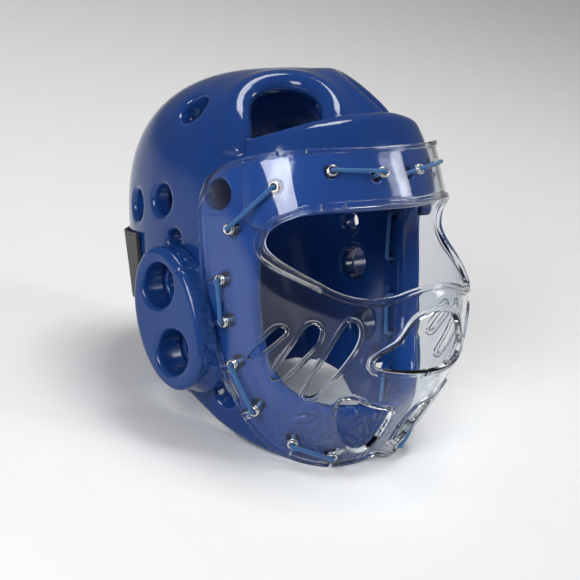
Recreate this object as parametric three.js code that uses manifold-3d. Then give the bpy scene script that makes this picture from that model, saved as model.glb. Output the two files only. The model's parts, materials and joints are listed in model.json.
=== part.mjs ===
// Sparring headgear: a dipped foam shell with a raised forehead band, two ear pads and a rear strap,
// and a clear moulded face shield that is laced to the foam through metal eyelets.
import * as THREE from "three";
import { mergeVertices } from "three/addons/utils/BufferGeometryUtils.js";
import Module from "manifold-3d";

const wasm = await Module();
wasm.setup();

// Lengths are millimetres and turns are degrees. Everything is modelled in the head's own frame:
// the origin lies between the ears, +X is the wearer's left, -Y is out of the face and +Z is up.
// A turn is measured round +Z from the front, positive towards the wearer's left.

// Foam shell
const SHELL_HALF_WIDTH = 95.5;
const SHELL_FRONT = 104;
const SHELL_BACK = 121;
const CROWN_HEIGHT = 156;
const CHIN_DEPTH = 120;
const FOAM = 16;
const SHELL_SIDES = 28;
const LINER_SIDES = 18;
const SHELL_REACH = 0.6;

// Openings in the shell
const FACE_HALF_TURN = 54;
const BROW_HEIGHT = 58;
const LIP_DEPTH = 77;
const VENT_RADIUS = 10.5;
const VENT_SIDES = 8;
const TOP_VENT_BACK = 26;
const ARCH_HALF_WIDTH = 27;
const ARCH_HEIGHT = 47;
const ARCH_TURN = 41;
const ARCH_TILT = 40;
const ARCH_CENTRE_HEIGHT = 118;
const ARCH_STEPS = 8;
const NOTCH_HALF_TURN = 11;
const NOTCH_TOP = 52;
const NOTCH_ROUND = 17;
const NOTCH_STEPS = 5;

// The shell rests on its chin and its nape, on one plane that both edges are cut to
const CHIN_REST_FORWARD = 53;
const CHIN_REST_DEPTH = 115;
const NAPE_REST_BACK = 92;
const NAPE_REST_DEPTH = 60;

// Forehead band
const BAND_THICKNESS = 12;
const BAND_END_THICKNESS = 1.6;
const BAND_HALF_TURN = 61;
const BAND_TOP_MIDDLE = 124;
const BAND_TOP_END = 107;
const BAND_THINNING = 2.5;
const BAND_DROP = 1.7;
const BAND_STEPS = 10;
const BAND_CORE_TOP = 150;
const BAND_CORE_BOTTOM = -35;
const BAND_FOOT_SHARE = 0.6;

// Ear pads
const PAD_HEIGHT = 101;
const PAD_WIDTH = 64;
const PAD_THICKNESS = 18.5;
const PAD_BACK = 2;
const PAD_DROP = 13;
const PAD_TILT = 16;
const PAD_EDGE = 4.5;
const PAD_HOLE_RADIUS = 15.5;
const PAD_HOLE_SPACING = 47;
const PAD_SINK = 22;
const PAD_CURVE_STEPS = 8;
const PAD_EDGE_STEPS = 2;
const EAR_HOLE_RADIUS = 12;

// Rear strap
const STRAP_WIDTH = 48;
const STRAP_MIDDLE_HEIGHT = 18;
const STRAP_THICKNESS = 2.6;
const STRAP_ANCHOR_TURN = 122;
const STRAP_OVERLAP_TURN = 14;
const STRAP_STEPS = 12;
const STRAP_GAP = 0.5;

// Face shield
const SHIELD_SHEET = 2.6;
const SHIELD_BACK = -13;
const SHIELD_SIDE_ROOM = 4.5;
const SHIELD_FRONT_ROOM = 45;
const SHIELD_STEPS = 15;
const SHIELD_TOP = 102.5;
const SHIELD_BOTTOM = 120.5;
const SHIELD_REACH = 0.08;
const SLOT_HALF_WIDTH = 5.6;
const SLOT_END_STEPS = 3;

// Eyelets and laces
const EYELET_BORE = 2.3;
const EYELET_BARREL = 2.8;
const EYELET_FLANGE = 3.8;
const EYELET_METAL = 0.5;
const EYELET_SLACK = 0.7;
const EYELET_SIDES = 6;
const LACE_RADIUS = 1.4;
const LACE_SIDES = 4;
const LACE_BEND = 2.6;
const LACE_LIFT = 1.2;
const LINER_SLACK = 2.4;
const LACE_HOLE_RADIUS = 4.5;
const LACE_HOLE_SIDES = 5;
const LACE_KNOT_RADIUS = 3.6;
const LACE_SEARCH_STEP = 0.25;

// Fits and joins
const FIT_GAP = 0.3;
const WELD = 0.002;
const MERGE = 0.001;
const SLOPE_STEP = 0.5;

// Outline of the shell, crown first: each height is a share of the crown height, or below the ears
// of the chin depth, and the rest are shares of the half width, front and back.
const SHELL_SECTIONS = [
  { height: 0.994, half: 0.2, front: 0.19, back: 0.2, square: 2 },
  { height: 0.974, half: 0.4, front: 0.365, back: 0.38, square: 2 },
  { height: 0.938, half: 0.565, front: 0.5, back: 0.545, square: 2 },
  { height: 0.885, half: 0.7, front: 0.625, back: 0.69, square: 2 },
  { height: 0.795, half: 0.835, front: 0.76, back: 0.84, square: 2.1 },
  { height: 0.667, half: 0.945, front: 0.87, back: 0.945, square: 2.2 },
  { height: 0.5, half: 0.995, front: 0.945, back: 0.992, square: 2.25 },
  { height: 0.32, half: 1, front: 0.975, back: 1, square: 2.25 },
  { height: 0.14, half: 1, front: 0.992, back: 0.978, square: 2.25 },
  { height: 0, half: 0.993, front: 1, back: 0.94, square: 2.2 },
  { height: -0.25, half: 0.958, front: 1, back: 0.86, square: 2.2 },
  { height: -0.46, half: 0.91, front: 0.99, back: 0.77, square: 2.2 },
  { height: -0.67, half: 0.827, front: 0.933, back: 0.68, square: 2.2 },
  { height: -0.875, half: 0.72, front: 0.81, back: 0.59, square: 2.2 },
  { height: -1.02, half: 0.63, front: 0.69, back: 0.51, square: 2.2 },
  { height: -1.12, half: 0.57, front: 0.6, back: 0.45, square: 2.2 },
];

// Lower edge of the shell seen from the side: along is a share of the front or back, and depth is a
// share of the chin depth. The rows marked rest take their depth from the plane it rests on.
const LOWER_EDGE = [
  { along: -1.2, depth: 1.03 },
  { along: -0.76, depth: 1.005 },
  { along: -0.6, rest: true },
  { along: -0.4, rest: true },
  { along: -0.19, depth: 0.825 },
  { along: -0.05, depth: 0.74 },
  { along: 0.12, depth: 0.6 },
  { along: 0.25, depth: 0.55 },
  { along: 0.42, depth: 0.53 },
  { along: 0.58, rest: true },
  { along: 1.2, rest: true },
];

// Right half of the face opening, brow first: turn is a share of the half turn, and height is a share
// of the brow height, or below the ears of the lip depth.
const FACE_OPENING = [
  { turn: 0, height: 1 },
  { turn: 0.36, height: 1 },
  { turn: 0.66, height: 0.99 },
  { turn: 0.84, height: 0.94 },
  { turn: 0.94, height: 0.82 },
  { turn: 0.98, height: 0.62 },
  { turn: 1, height: 0.2 },
  { turn: 1, height: -0.15 },
  { turn: 0.985, height: -0.4 },
  { turn: 0.93, height: -0.62 },
  { turn: 0.8, height: -0.8 },
  { turn: 0.6, height: -0.92 },
  { turn: 0.36, height: -0.98 },
  { turn: 0, height: -1 },
];

// Vents on each side: height is a share of the crown height, or below the ears of the chin depth, and
// radius is a share of the vent radius.
const VENTS = [
  { turn: 100, height: 0.836, radius: 1.1 },
  { turn: 105, height: 0.428, radius: 1 },
  { turn: 126, height: 0.395, radius: 1 },
  { turn: 97, height: 0.255, radius: 0.62 },
  { turn: 72, height: 0.462, radius: 1 },
  { turn: 75, height: -0.555, radius: 1 },
];

// How far the shield stands clear of the shell: out is a share of the room at the front, and side is
// a share of the room at the sides. Heights are as for the shell.
const SHIELD_SECTIONS = [
  { height: 0.72, out: 0.57, side: 2.5 },
  { height: 0.37, out: 0.61, side: 1 },
  { height: 0.19, out: 0.81, side: 1 },
  { height: 0, out: 1, side: 1 },
  { height: -0.19, out: 0.95, side: 1.1 },
  { height: -0.375, out: 0.81, side: 1.4 },
  { height: -0.52, out: 0.62, side: 1.6 },
  { height: -0.667, out: 0.38, side: 1.6 },
  { height: -0.83, out: 0.2, side: 1.3 },
  { height: -1.1, out: 0.1, side: 1 },
];

// Edge of the shield seen from the side, top first: along is a share of the shell's front, and height
// is a share of the shield's top or, below the ears, of its bottom.
const SHIELD_EDGE = [
  { along: 1.5, height: 1 },
  { along: 0.85, height: 0.995 },
  { along: 0.64, height: 0.972 },
  { along: 0.44, height: 0.925 },
  { along: 0.31, height: 0.85 },
  { along: 0.215, height: 0.735 },
  { along: 0.175, height: 0.6 },
  { along: 0.17, height: 0.45 },
  { along: 0.2, height: 0.17 },
  { along: 0.22, height: 0 },
  { along: 0.275, height: -0.25 },
  { along: 0.32, height: -0.42 },
  { along: 0.368, height: -0.58 },
  { along: 0.412, height: -0.73 },
  { along: 0.472, height: -0.84 },
  { along: 0.56, height: -0.935 },
  { along: 0.65, height: -0.985 },
  { along: 0.74, height: -0.99 },
  { along: 0.82, height: -0.955 },
  { along: 1.5, height: -0.94 },
];

// Openings in the shield: turn is in degrees about the shield's own axis, and height is a share of
// the shield's top or bottom. A mirrored opening is cut on both sides, and a whole one is listed
// by its right half, top first.
const EYE_OPENING = [
  { turn: 0, height: 0.607 },
  { turn: 24, height: 0.61 },
  { turn: 46, height: 0.565 },
  { turn: 54, height: 0.515 },
  { turn: 59.5, height: 0.45 },
  { turn: 61, height: 0.385 },
  { turn: 59, height: 0.32 },
  { turn: 54, height: 0.25 },
  { turn: 46, height: 0.15 },
  { turn: 38, height: 0.065 },
  { turn: 30, height: 0.025 },
  { turn: 22, height: 0.03 },
  { turn: 13, height: 0.07 },
  { turn: 5, height: 0.093 },
  { turn: 0, height: 0.096 },
];
const MOUTH_OPENING = [
  { turn: 0, height: -0.06 },
  { turn: 4, height: -0.068 },
  { turn: 9, height: -0.12 },
  { turn: 14, height: -0.2 },
  { turn: 20, height: -0.25 },
  { turn: 25.5, height: -0.285 },
  { turn: 27.5, height: -0.33 },
  { turn: 26, height: -0.375 },
  { turn: 20, height: -0.415 },
  { turn: 10, height: -0.44 },
  { turn: 0, height: -0.445 },
];
const CHIN_OPENING = [
  { turn: 33, height: -0.55 },
  { turn: 26, height: -0.565 },
  { turn: 17, height: -0.615 },
  { turn: 8.5, height: -0.645 },
  { turn: 8, height: -0.72 },
  { turn: 8.5, height: -0.825 },
  { turn: 12, height: -0.875 },
  { turn: 17, height: -0.895 },
  { turn: 24, height: -0.86 },
  { turn: 30, height: -0.8 },
  { turn: 34.5, height: -0.71 },
  { turn: 36, height: -0.62 },
];

// Cheek slots, from the nose outwards: each runs from its foot up to its head, with a half width at
// each end as a share of the slot half width.
const CHEEK_SLOTS = [
  { footTurn: 48, footHeight: -0.5, foot: 0.6, headTurn: 36, headHeight: -0.13, head: 1 },
  { footTurn: 62, footHeight: -0.365, foot: 0.55, headTurn: 48, headHeight: -0.14, head: 1 },
  { footTurn: 73, footHeight: -0.27, foot: 0.55, headTurn: 60, headHeight: -0.13, head: 0.9 },
];

// Eyelets of one side in lacing order, top middle first. Each pair carries one outside stitch.
const EYELETS = [
  { turn: 10.5, height: 0.83 },
  { turn: 32, height: 0.855 },
  { turn: 55, height: 0.757 },
  { turn: 74, height: 0.48 },
  { turn: 79.5, height: 0.14 },
  { turn: 79.5, height: -0.12 },
  { turn: 77, height: -0.362 },
  { turn: 69, height: -0.635 },
  { turn: 51, height: -0.84 },
  { turn: 28, height: -0.935 },
];

const radians = THREE.MathUtils.degToRad;
const vec = (x, y, z) => new THREE.Vector3(x, y, z);
const UP = vec(0, 0, 1);

// Height of a share: above the ears of the upper size, below them of the lower one.
const level = (share, upper, lower) => share * (share > 0 ? upper : lower);

// Straight-line value between the rows of a table whose heights fall from row to row.
function between(rows, z, key) {
  const last = rows.length - 1;
  let i = rows.findIndex((row) => row.z < z);
  i = i < 0 ? last : Math.max(i, 1);
  const [a, b] = [rows[i - 1], rows[i]];
  const t = THREE.MathUtils.clamp((z - a.z) / (b.z - a.z), 0, 1);
  return a[key] + (b[key] - a[key]) * t;
}

const shellRows = SHELL_SECTIONS.map((row) => ({
  z: level(row.height, CROWN_HEIGHT, CHIN_DEPTH),
  half: row.half * SHELL_HALF_WIDTH,
  front: row.front * SHELL_FRONT,
  back: row.back * SHELL_BACK,
  square: row.square,
}));

// Point of a rounded section, at a turn: a superellipse with its own reach to the front and back.
function sectionPoint(row, turn) {
  const [s, c] = [Math.sin(radians(turn)), Math.cos(radians(turn))];
  const reach = c > 0 ? row.front : row.back;
  const inverse = (Math.abs(s) / row.half) ** row.square + (Math.abs(c) / reach) ** row.square;
  const r = inverse ** (-1 / row.square);
  return vec(r * s, -r * c, row.z);
}

// Shell section at any height, grown sideways by an offset.
function shellSection(z, offset = 0) {
  return {
    z,
    half: between(shellRows, z, "half") + offset,
    front: between(shellRows, z, "front") + offset,
    back: between(shellRows, z, "back") + offset,
    square: between(shellRows, z, "square"),
  };
}

const shellPoint = (turn, z, offset = 0) => sectionPoint(shellSection(z, offset), turn);

// Outward normal of a surface given by a point for each turn and height.
function normalOf(point, turn, z) {
  const across = point(turn + SLOPE_STEP, z).sub(point(turn - SLOPE_STEP, z));
  const upward = point(turn, z + SLOPE_STEP).sub(point(turn, z - SLOPE_STEP));
  return across.cross(upward).normalize();
}

// A closed triangle mesh as a solid that can be joined and cut.
function solidOf(geometry) {
  const bare = geometry.index ? geometry.toNonIndexed() : geometry.clone();
  const only = new THREE.BufferGeometry().setAttribute("position", bare.getAttribute("position"));
  const merged = mergeVertices(only, MERGE);
  const mesh = new wasm.Mesh({
    numProp: 3,
    vertProperties: merged.getAttribute("position").array,
    triVerts: new Uint32Array(merged.index.array),
  });
  return new wasm.Manifold(mesh);
}

// Points and triangles as a geometry.
function geometryOf(points, triangles) {
  const geometry = new THREE.BufferGeometry().setFromPoints(points);
  geometry.setIndex(triangles);
  return geometry;
}

// Solid skinned over rings of equal length, with a fan over each end.
function skin(rings) {
  const count = rings[0].length;
  const points = rings.flat();
  const triangles = [];
  for (let i = 0; i + 1 < rings.length; i++) {
    for (let j = 0; j < count; j++) {
      const k = (j + 1) % count;
      const [a, b, c, d] = [i * count + j, i * count + k, (i + 1) * count + k, (i + 1) * count + j];
      triangles.push(a, d, c, a, c, b);
    }
  }
  for (const end of [0, rings.length - 1]) {
    const middle = rings[end].reduce((sum, p) => sum.add(p), vec(0, 0, 0)).divideScalar(count);
    points.push(middle);
    for (let j = 0; j < count; j++) {
      const [a, b] = [end * count + j, end * count + ((j + 1) % count)];
      triangles.push(...(end ? [points.length - 1, b, a] : [points.length - 1, a, b]));
    }
  }
  return solidOf(geometryOf(points, triangles));
}

// Prism between a near and a far copy of one outline, with its caps triangulated on a flat chart.
function prism(chart, near, far) {
  const n = chart.length;
  const order = [...chart.keys()];
  if (THREE.ShapeUtils.isClockWise(chart)) order.reverse();
  const pick = (list) => order.map((i) => list[i]);
  const triangles = [];
  for (const [a, b, c] of THREE.ShapeUtils.triangulateShape(pick(chart), [])) {
    triangles.push(a + n, b + n, c + n, a, c, b);
  }
  for (let i = 0; i < n; i++) {
    const k = (i + 1) % n;
    triangles.push(i, k, k + n, i, k + n, i + n);
  }
  return solidOf(geometryOf([...pick(near), ...pick(far)], triangles));
}

// Cutter through a wall, spread from an upright axis through an outline of turns and heights. It
// reaches a given share of the way in, and as far out as keeps its flat outer end clear of the wall.
function radialCutter(outline, point, axisY, reach) {
  const turns = outline.map((p) => p.turn);
  const halfSpan = (Math.max(...turns) - Math.min(...turns)) / 2;
  const outward = (1 + reach) / Math.cos(radians(halfSpan));
  const onSurface = outline.map((p) => point(p.turn, p.z));
  const spread = (share) =>
    onSurface.map((p) => vec(p.x * share, axisY + (p.y - axisY) * share, p.z));
  const chart = outline.map((p) => new THREE.Vector2(p.turn, p.z));
  return prism(chart, spread(1 - reach), spread(outward));
}

// Straight round cutter from a point, along a direction.
function drill(point, direction, radius, before, after, sides) {
  const geometry = new THREE.CylinderGeometry(radius, radius, before + after, sides);
  geometry.translate(0, (after - before) / 2, 0);
  const turnTo = new THREE.Quaternion().setFromUnitVectors(vec(0, 1, 0), direction);
  geometry.applyQuaternion(turnTo).translate(point.x, point.y, point.z);
  return solidOf(geometry);
}

// Both halves of an outline whose right half is listed from top to bottom.
function wholeOutline(half) {
  const other = half
    .filter((p) => p.turn > 0)
    .reverse()
    .map((p) => ({ ...p, turn: -p.turn }));
  return [...half, ...other];
}

const mirrored = (outline) => outline.map((p) => ({ ...p, turn: -p.turn })).reverse();

// Rest plane, and the lower edge of the shell cut from it
const REST_SLOPE = (CHIN_REST_DEPTH - NAPE_REST_DEPTH) / (CHIN_REST_FORWARD + NAPE_REST_BACK);
const restHeight = (y) => -NAPE_REST_DEPTH + (y - NAPE_REST_BACK) * REST_SLOPE;

function belowLowerEdge() {
  const edge = LOWER_EDGE.map((row) => {
    const y = row.along * (row.along < 0 ? SHELL_FRONT : SHELL_BACK);
    return new THREE.Vector2(y, row.rest ? restHeight(y) : -row.depth * CHIN_DEPTH);
  });
  const floor = -2 * CHIN_DEPTH;
  const outline = [...edge, new THREE.Vector2(edge.at(-1).x, floor), new THREE.Vector2(edge[0].x, floor)];
  const wide = 2 * SHELL_HALF_WIDTH;
  const at = (x) => outline.map((p) => vec(x, p.x, p.y));
  return prism(outline, at(-wide), at(wide));
}

// Rings of the shell's outer surface, or of its inner one a foam thickness inside it, which follows
// every second section
function shellRings(sides, inset) {
  const turns = Array.from({ length: sides }, (_, i) => (360 * i) / sides);
  const rings = shellRows.map((row, i) => {
    const [above, below] = [shellRows[Math.max(i - 1, 0)], shellRows[Math.min(i + 1, shellRows.length - 1)]];
    const lean = Math.atan2(below.half - above.half, above.z - below.z);
    const inner = {
      ...row,
      z: row.z - inset * Math.sin(lean),
      half: row.half - inset * Math.cos(lean),
      front: row.front - inset * Math.cos(lean),
      back: row.back - inset * Math.cos(lean),
    };
    return turns.map((turn) => sectionPoint(inner, turn));
  });
  return inset > 0 ? rings.filter((ring, i) => i % 2 === 0 || i === rings.length - 1) : rings;
}

// Crown vents either side of the middle, arched over the forehead band
function archCutter(side) {
  const out = vec(0, -1, 0)
    .applyAxisAngle(vec(1, 0, 0), radians(-ARCH_TILT))
    .applyAxisAngle(UP, radians(side * ARCH_TURN));
  const across = UP.clone().cross(out).normalize();
  const upward = out.clone().cross(across);
  const foot = shellPoint(side * ARCH_TURN, ARCH_CENTRE_HEIGHT);
  const chart = [new THREE.Vector2(-ARCH_HALF_WIDTH, 0), new THREE.Vector2(ARCH_HALF_WIDTH, 0)];
  const straight = ARCH_HEIGHT - ARCH_HALF_WIDTH;
  for (let i = 0; i <= ARCH_STEPS; i++) {
    const t = (Math.PI * i) / ARCH_STEPS;
    chart.push(
      new THREE.Vector2(ARCH_HALF_WIDTH * Math.cos(t), straight + ARCH_HALF_WIDTH * Math.sin(t)),
    );
  }
  const at = (depth) =>
    chart.map((p) =>
      foot.clone().addScaledVector(across, p.x).addScaledVector(upward, p.y).addScaledVector(out, depth),
    );
  return prism(chart, at(-3 * FOAM), at(3 * FOAM));
}

// Shield surface: half an ellipse at each height, about its own upright axis behind the ears
const shieldRows = SHIELD_SECTIONS.map((row) => {
  const z = level(row.height, CROWN_HEIGHT, CHIN_DEPTH);
  return {
    z,
    half: shellSection(z).half + row.side * SHIELD_SIDE_ROOM,
    front: shellSection(z).front + row.out * SHIELD_FRONT_ROOM,
  };
});

function shieldPoint(turn, z, inset = 0) {
  const half = between(shieldRows, z, "half") - inset;
  const front = between(shieldRows, z, "front") - inset;
  const t = radians(turn);
  return vec(half * Math.sin(t), SHIELD_BACK - (front + SHIELD_BACK) * Math.cos(t), z);
}

function shieldRings(inset) {
  const turns = Array.from({ length: SHIELD_STEPS + 1 }, (_, i) => -90 + (180 * i) / SHIELD_STEPS);
  return shieldRows.map((row) => turns.map((turn) => shieldPoint(turn, row.z, inset)));
}

const shieldLevel = (share) => level(share, SHIELD_TOP, SHIELD_BOTTOM);
const shieldOutline = (table) => table.map((p) => ({ turn: p.turn, z: shieldLevel(p.height) }));

// Everything inside the shield's outer surface and in front of its edge, grown by a gap
function shieldBody(gap) {
  const outline = SHIELD_EDGE.map(
    (p) => new THREE.Vector2(gap - p.along * SHELL_FRONT, shieldLevel(p.height)),
  );
  const wide = 2 * SHELL_HALF_WIDTH;
  const at = (x) => outline.map((p) => vec(x, p.x, p.y));
  return skin(shieldRings(-gap)).intersect(prism(outline, at(-wide), at(wide)));
}

// A cheek slot: a round head and a smaller round foot joined by straight sides, laid out in
// millimetres round and up the shield and turned back into degrees
function slotOutline(slot) {
  const foot = { turn: slot.footTurn, z: shieldLevel(slot.footHeight) };
  const head = { turn: slot.headTurn, z: shieldLevel(slot.headHeight) };
  const perTurn = shieldPoint(foot.turn, foot.z).distanceTo(shieldPoint(head.turn, foot.z)) /
    Math.abs(head.turn - foot.turn);
  const run = new THREE.Vector2((head.turn - foot.turn) * perTurn, head.z - foot.z);
  const heading = run.angle();
  const arc = (end, radius, start) =>
    Array.from({ length: SLOT_END_STEPS + 1 }, (_, i) => {
      const a = start + (Math.PI * i) / SLOT_END_STEPS;
      return { turn: end.turn + (radius * Math.cos(a)) / perTurn, z: end.z + radius * Math.sin(a) };
    });
  return [
    ...arc(head, slot.head * SLOT_HALF_WIDTH, heading - Math.PI / 2),
    ...arc(foot, slot.foot * SLOT_HALF_WIDTH, heading + Math.PI / 2),
  ];
}

// Eyelet centres on the shield, with their outward normals
const eyeletSeats = (side) =>
  EYELETS.map((row) => {
    const [turn, z] = [side * row.turn, shieldLevel(row.height)];
    const normal = normalOf(shieldPoint, turn, z);
    const middle = shieldPoint(turn, z).addScaledVector(normal, -SHIELD_SHEET / 2);
    return { middle, normal };
  });
const seats = { right: eyeletSeats(-1), left: eyeletSeats(1) };
const allSeats = [...seats.right, ...seats.left];

const laceHole = (seat) =>
  drill(seat.middle, seat.normal, LACE_HOLE_RADIUS, 4 * FOAM, 0, LACE_HOLE_SIDES);

// Centres of an ear pad's two holes, as a place to the back and a height
function padHoleCentres() {
  const tilt = radians(PAD_TILT);
  return [-1, 1].map((end) => {
    const reach = (end * PAD_HOLE_SPACING) / 2;
    return [PAD_BACK + reach * Math.sin(tilt), reach * Math.cos(tilt) - PAD_DROP];
  });
}

function foamShell() {
  let made = skin(shellRings(SHELL_SIDES, 0)).subtract(skin(shellRings(LINER_SIDES, FOAM)));
  const face = wholeOutline(FACE_OPENING).map((p) => ({
    turn: p.turn * FACE_HALF_TURN,
    z: level(p.height, BROW_HEIGHT, LIP_DEPTH),
  }));
  made = made.subtract(radialCutter(face, shellPoint, 0, SHELL_REACH)).subtract(belowLowerEdge());
  const notch = [
    { turn: 180 - NOTCH_HALF_TURN, z: -CHIN_DEPTH },
    { turn: 180 + NOTCH_HALF_TURN, z: -CHIN_DEPTH },
  ];
  for (let i = 0; i <= NOTCH_STEPS; i++) {
    const t = (Math.PI * i) / NOTCH_STEPS;
    notch.push({
      turn: 180 + NOTCH_HALF_TURN * Math.cos(t),
      z: NOTCH_TOP - NOTCH_ROUND + NOTCH_ROUND * Math.sin(t),
    });
  }
  made = made.subtract(radialCutter(notch, shellPoint, 0, SHELL_REACH));
  for (const side of [-1, 1]) {
    made = made.subtract(archCutter(side));
    for (const vent of VENTS) {
      const [turn, z] = [side * vent.turn, level(vent.height, CROWN_HEIGHT, CHIN_DEPTH)];
      const seat = shellPoint(turn, z);
      const normal = normalOf(shellPoint, turn, z);
      made = made.subtract(
        drill(seat, normal, vent.radius * VENT_RADIUS, 2 * FOAM, FOAM, VENT_SIDES),
      );
    }
  }
  made = made.subtract(
    drill(vec(0, TOP_VENT_BACK, CROWN_HEIGHT), UP, VENT_RADIUS, 2 * FOAM, FOAM, VENT_SIDES),
  );
  for (const side of [-1, 1]) {
    for (const [y, z] of padHoleCentres()) {
      const seat = vec(side * SHELL_HALF_WIDTH, y, z);
      made = made.subtract(
        drill(seat, vec(side, 0, 0), EAR_HOLE_RADIUS, 3 * FOAM, FOAM, VENT_SIDES),
      );
    }
  }
  for (const seat of allSeats) made = made.subtract(laceHole(seat));
  return made;
}

// Band thickness, full at the middle of the forehead and thin at both ends
function bandThickness(turn) {
  const share = Math.min(Math.abs(turn) / BAND_HALF_TURN, 1);
  return BAND_END_THICKNESS + (BAND_THICKNESS - BAND_END_THICKNESS) * (1 - share ** BAND_THINNING);
}

function foreheadBand() {
  const turns = Array.from({ length: SHELL_SIDES }, (_, i) => (360 * i) / SHELL_SIDES);
  const wrap = (turn) => (turn > 180 ? turn - 360 : turn);
  const rows = shellRows.filter((row) => row.z < BAND_CORE_TOP && row.z > BAND_CORE_BOTTOM);
  const rings = (offset) => rows.map((row) => turns.map((turn) => shellPoint(turn, row.z, offset(wrap(turn)))));
  const outer = skin(rings((turn) => FIT_GAP + bandThickness(turn)));
  const inner = skin(rings(() => FIT_GAP));
  const top = Array.from({ length: BAND_STEPS + 1 }, (_, i) => {
    const turn = BAND_HALF_TURN * (1 - (2 * i) / BAND_STEPS);
    const drop = Math.abs(turn / BAND_HALF_TURN) ** BAND_DROP;
    return { turn, z: BAND_TOP_MIDDLE - (BAND_TOP_MIDDLE - BAND_TOP_END) * drop };
  });
  const edge = wholeOutline(FACE_OPENING)
    .filter((p) => p.height > BAND_FOOT_SHARE)
    .map((p) => ({ turn: p.turn * FACE_HALF_TURN, z: p.height * BROW_HEIGHT }))
    .sort((a, b) => a.turn - b.turn);
  const low = edge[0].z;
  const outline = [...top, { turn: -BAND_HALF_TURN, z: low }, ...edge, { turn: BAND_HALF_TURN, z: low }];
  let made = outer.subtract(inner).intersect(radialCutter(outline, shellPoint, 0, SHELL_REACH));
  for (const seat of allSeats) made = made.subtract(laceHole(seat));
  return made;
}

// Ear pad: a thick rounded oval with two round holes, seated on the shell, its front wall pressed in by
// the edge of the shield
function earPad(side) {
  const shape = new THREE.Shape();
  shape.absellipse(0, 0, PAD_WIDTH / 2 - PAD_EDGE, PAD_HEIGHT / 2 - PAD_EDGE, 0, 2 * Math.PI);
  for (const end of [-1, 1]) {
    const hole = new THREE.Path();
    hole.absarc(0, (end * PAD_HOLE_SPACING) / 2, PAD_HOLE_RADIUS + PAD_EDGE / 2, 0, 2 * Math.PI, true);
    shape.holes.push(hole);
  }
  const depth = PAD_THICKNESS + PAD_SINK;
  const geometry = new THREE.ExtrudeGeometry(shape, {
    depth: depth - PAD_EDGE,
    curveSegments: PAD_CURVE_STEPS,
    bevelThickness: PAD_EDGE,
    bevelSize: PAD_EDGE,
    bevelSegments: PAD_EDGE_STEPS,
  });
  const tilt = new THREE.Matrix4().makeRotationZ(radians(-side * PAD_TILT));
  const stand = new THREE.Matrix4().makeBasis(vec(0, side, 0), vec(0, 0, 1), vec(side, 0, 0));
  const face = side * (SHELL_HALF_WIDTH + PAD_THICKNESS);
  const place = new THREE.Matrix4().makeTranslation(face - side * depth, PAD_BACK, -PAD_DROP);
  geometry.applyMatrix4(place.multiply(stand).multiply(tilt));
  const seat = skin(
    shellRows.map((row) =>
      Array.from({ length: SHELL_SIDES }, (_, i) =>
        shellPoint((360 * i) / SHELL_SIDES, row.z, FIT_GAP),
      ),
    ),
  );
  return solidOf(geometry).subtract(seat).subtract(shieldBody(FIT_GAP));
}

// Strap half: webbing that leaves the shell at its anchor and laps the other half over the notch
function strapHalf(side, lift) {
  const turns = Array.from({ length: STRAP_STEPS + 1 }, (_, i) => {
    const from = side * STRAP_ANCHOR_TURN;
    const to = side * (180 + STRAP_OVERLAP_TURN);
    return from + ((to - from) * i) / STRAP_STEPS;
  });
  const rise = (turn) => {
    const reached = Math.abs(turn) - (180 - 2 * STRAP_OVERLAP_TURN);
    return STRAP_GAP + lift * THREE.MathUtils.smoothstep(reached, 0, STRAP_OVERLAP_TURN);
  };
  const low = STRAP_MIDDLE_HEIGHT - STRAP_WIDTH / 2;
  const high = STRAP_MIDDLE_HEIGHT + STRAP_WIDTH / 2;
  const rings = turns.map((turn) => {
    const [bottom, top] = [shellSection(low), shellSection(high)];
    const flat = (z) => {
      const t = (z - low) / (high - low);
      const mix = (key) => THREE.MathUtils.lerp(bottom[key], top[key], t);
      return { z, half: mix("half"), front: mix("front"), back: mix("back"), square: mix("square") };
    };
    const bulge = Math.max(0, shellSection(STRAP_MIDDLE_HEIGHT).back - flat(STRAP_MIDDLE_HEIGHT).back);
    const point = (z, out) => {
      const row = flat(z);
      const add = rise(turn) + bulge + out;
      return sectionPoint({ ...row, half: row.half + add, front: row.front + add, back: row.back + add }, turn);
    };
    const ring = [point(low, 0), point(high, 0), point(high, STRAP_THICKNESS), point(low, STRAP_THICKNESS)];
    return side > 0 ? ring : ring.reverse();
  });
  return skin(rings.reverse());
}

function faceShield() {
  let made = shieldBody(0).subtract(skin(shieldRings(SHIELD_SHEET)));
  const cut = (outline) => {
    made = made.subtract(radialCutter(outline, shieldPoint, SHIELD_BACK, SHIELD_REACH));
  };
  cut(wholeOutline(shieldOutline(EYE_OPENING)));
  cut(wholeOutline(shieldOutline(MOUTH_OPENING)));
  for (const outline of [shieldOutline(CHIN_OPENING), ...CHEEK_SLOTS.map(slotOutline)]) {
    cut(outline);
    cut(mirrored(outline));
  }
  for (const seat of allSeats) {
    const reach = 3 * SHIELD_SHEET;
    made = made.subtract(
      drill(seat.middle, seat.normal, EYELET_BARREL + FIT_GAP, reach, reach, EYELET_SIDES),
    );
  }
  return made;
}

// Eyelet: a barrel through the sheet with a flange each side of it
function eyelet(seat) {
  const grip = SHIELD_SHEET / 2 + EYELET_SLACK;
  const face = grip + EYELET_METAL;
  const profile = [
    [EYELET_BORE, -face],
    [EYELET_FLANGE, -grip],
    [EYELET_BARREL, -grip],
    [EYELET_BARREL, grip],
    [EYELET_FLANGE, grip],
    [EYELET_BORE, face],
    [EYELET_BORE, -face],
  ].map(([x, y]) => new THREE.Vector2(x, y));
  const geometry = new THREE.LatheGeometry(profile, EYELET_SIDES);
  const turnTo = new THREE.Quaternion().setFromUnitVectors(vec(0, 1, 0), seat.normal);
  geometry.applyQuaternion(turnTo).translate(seat.middle.x, seat.middle.y, seat.middle.z);
  return geometry;
}

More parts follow.
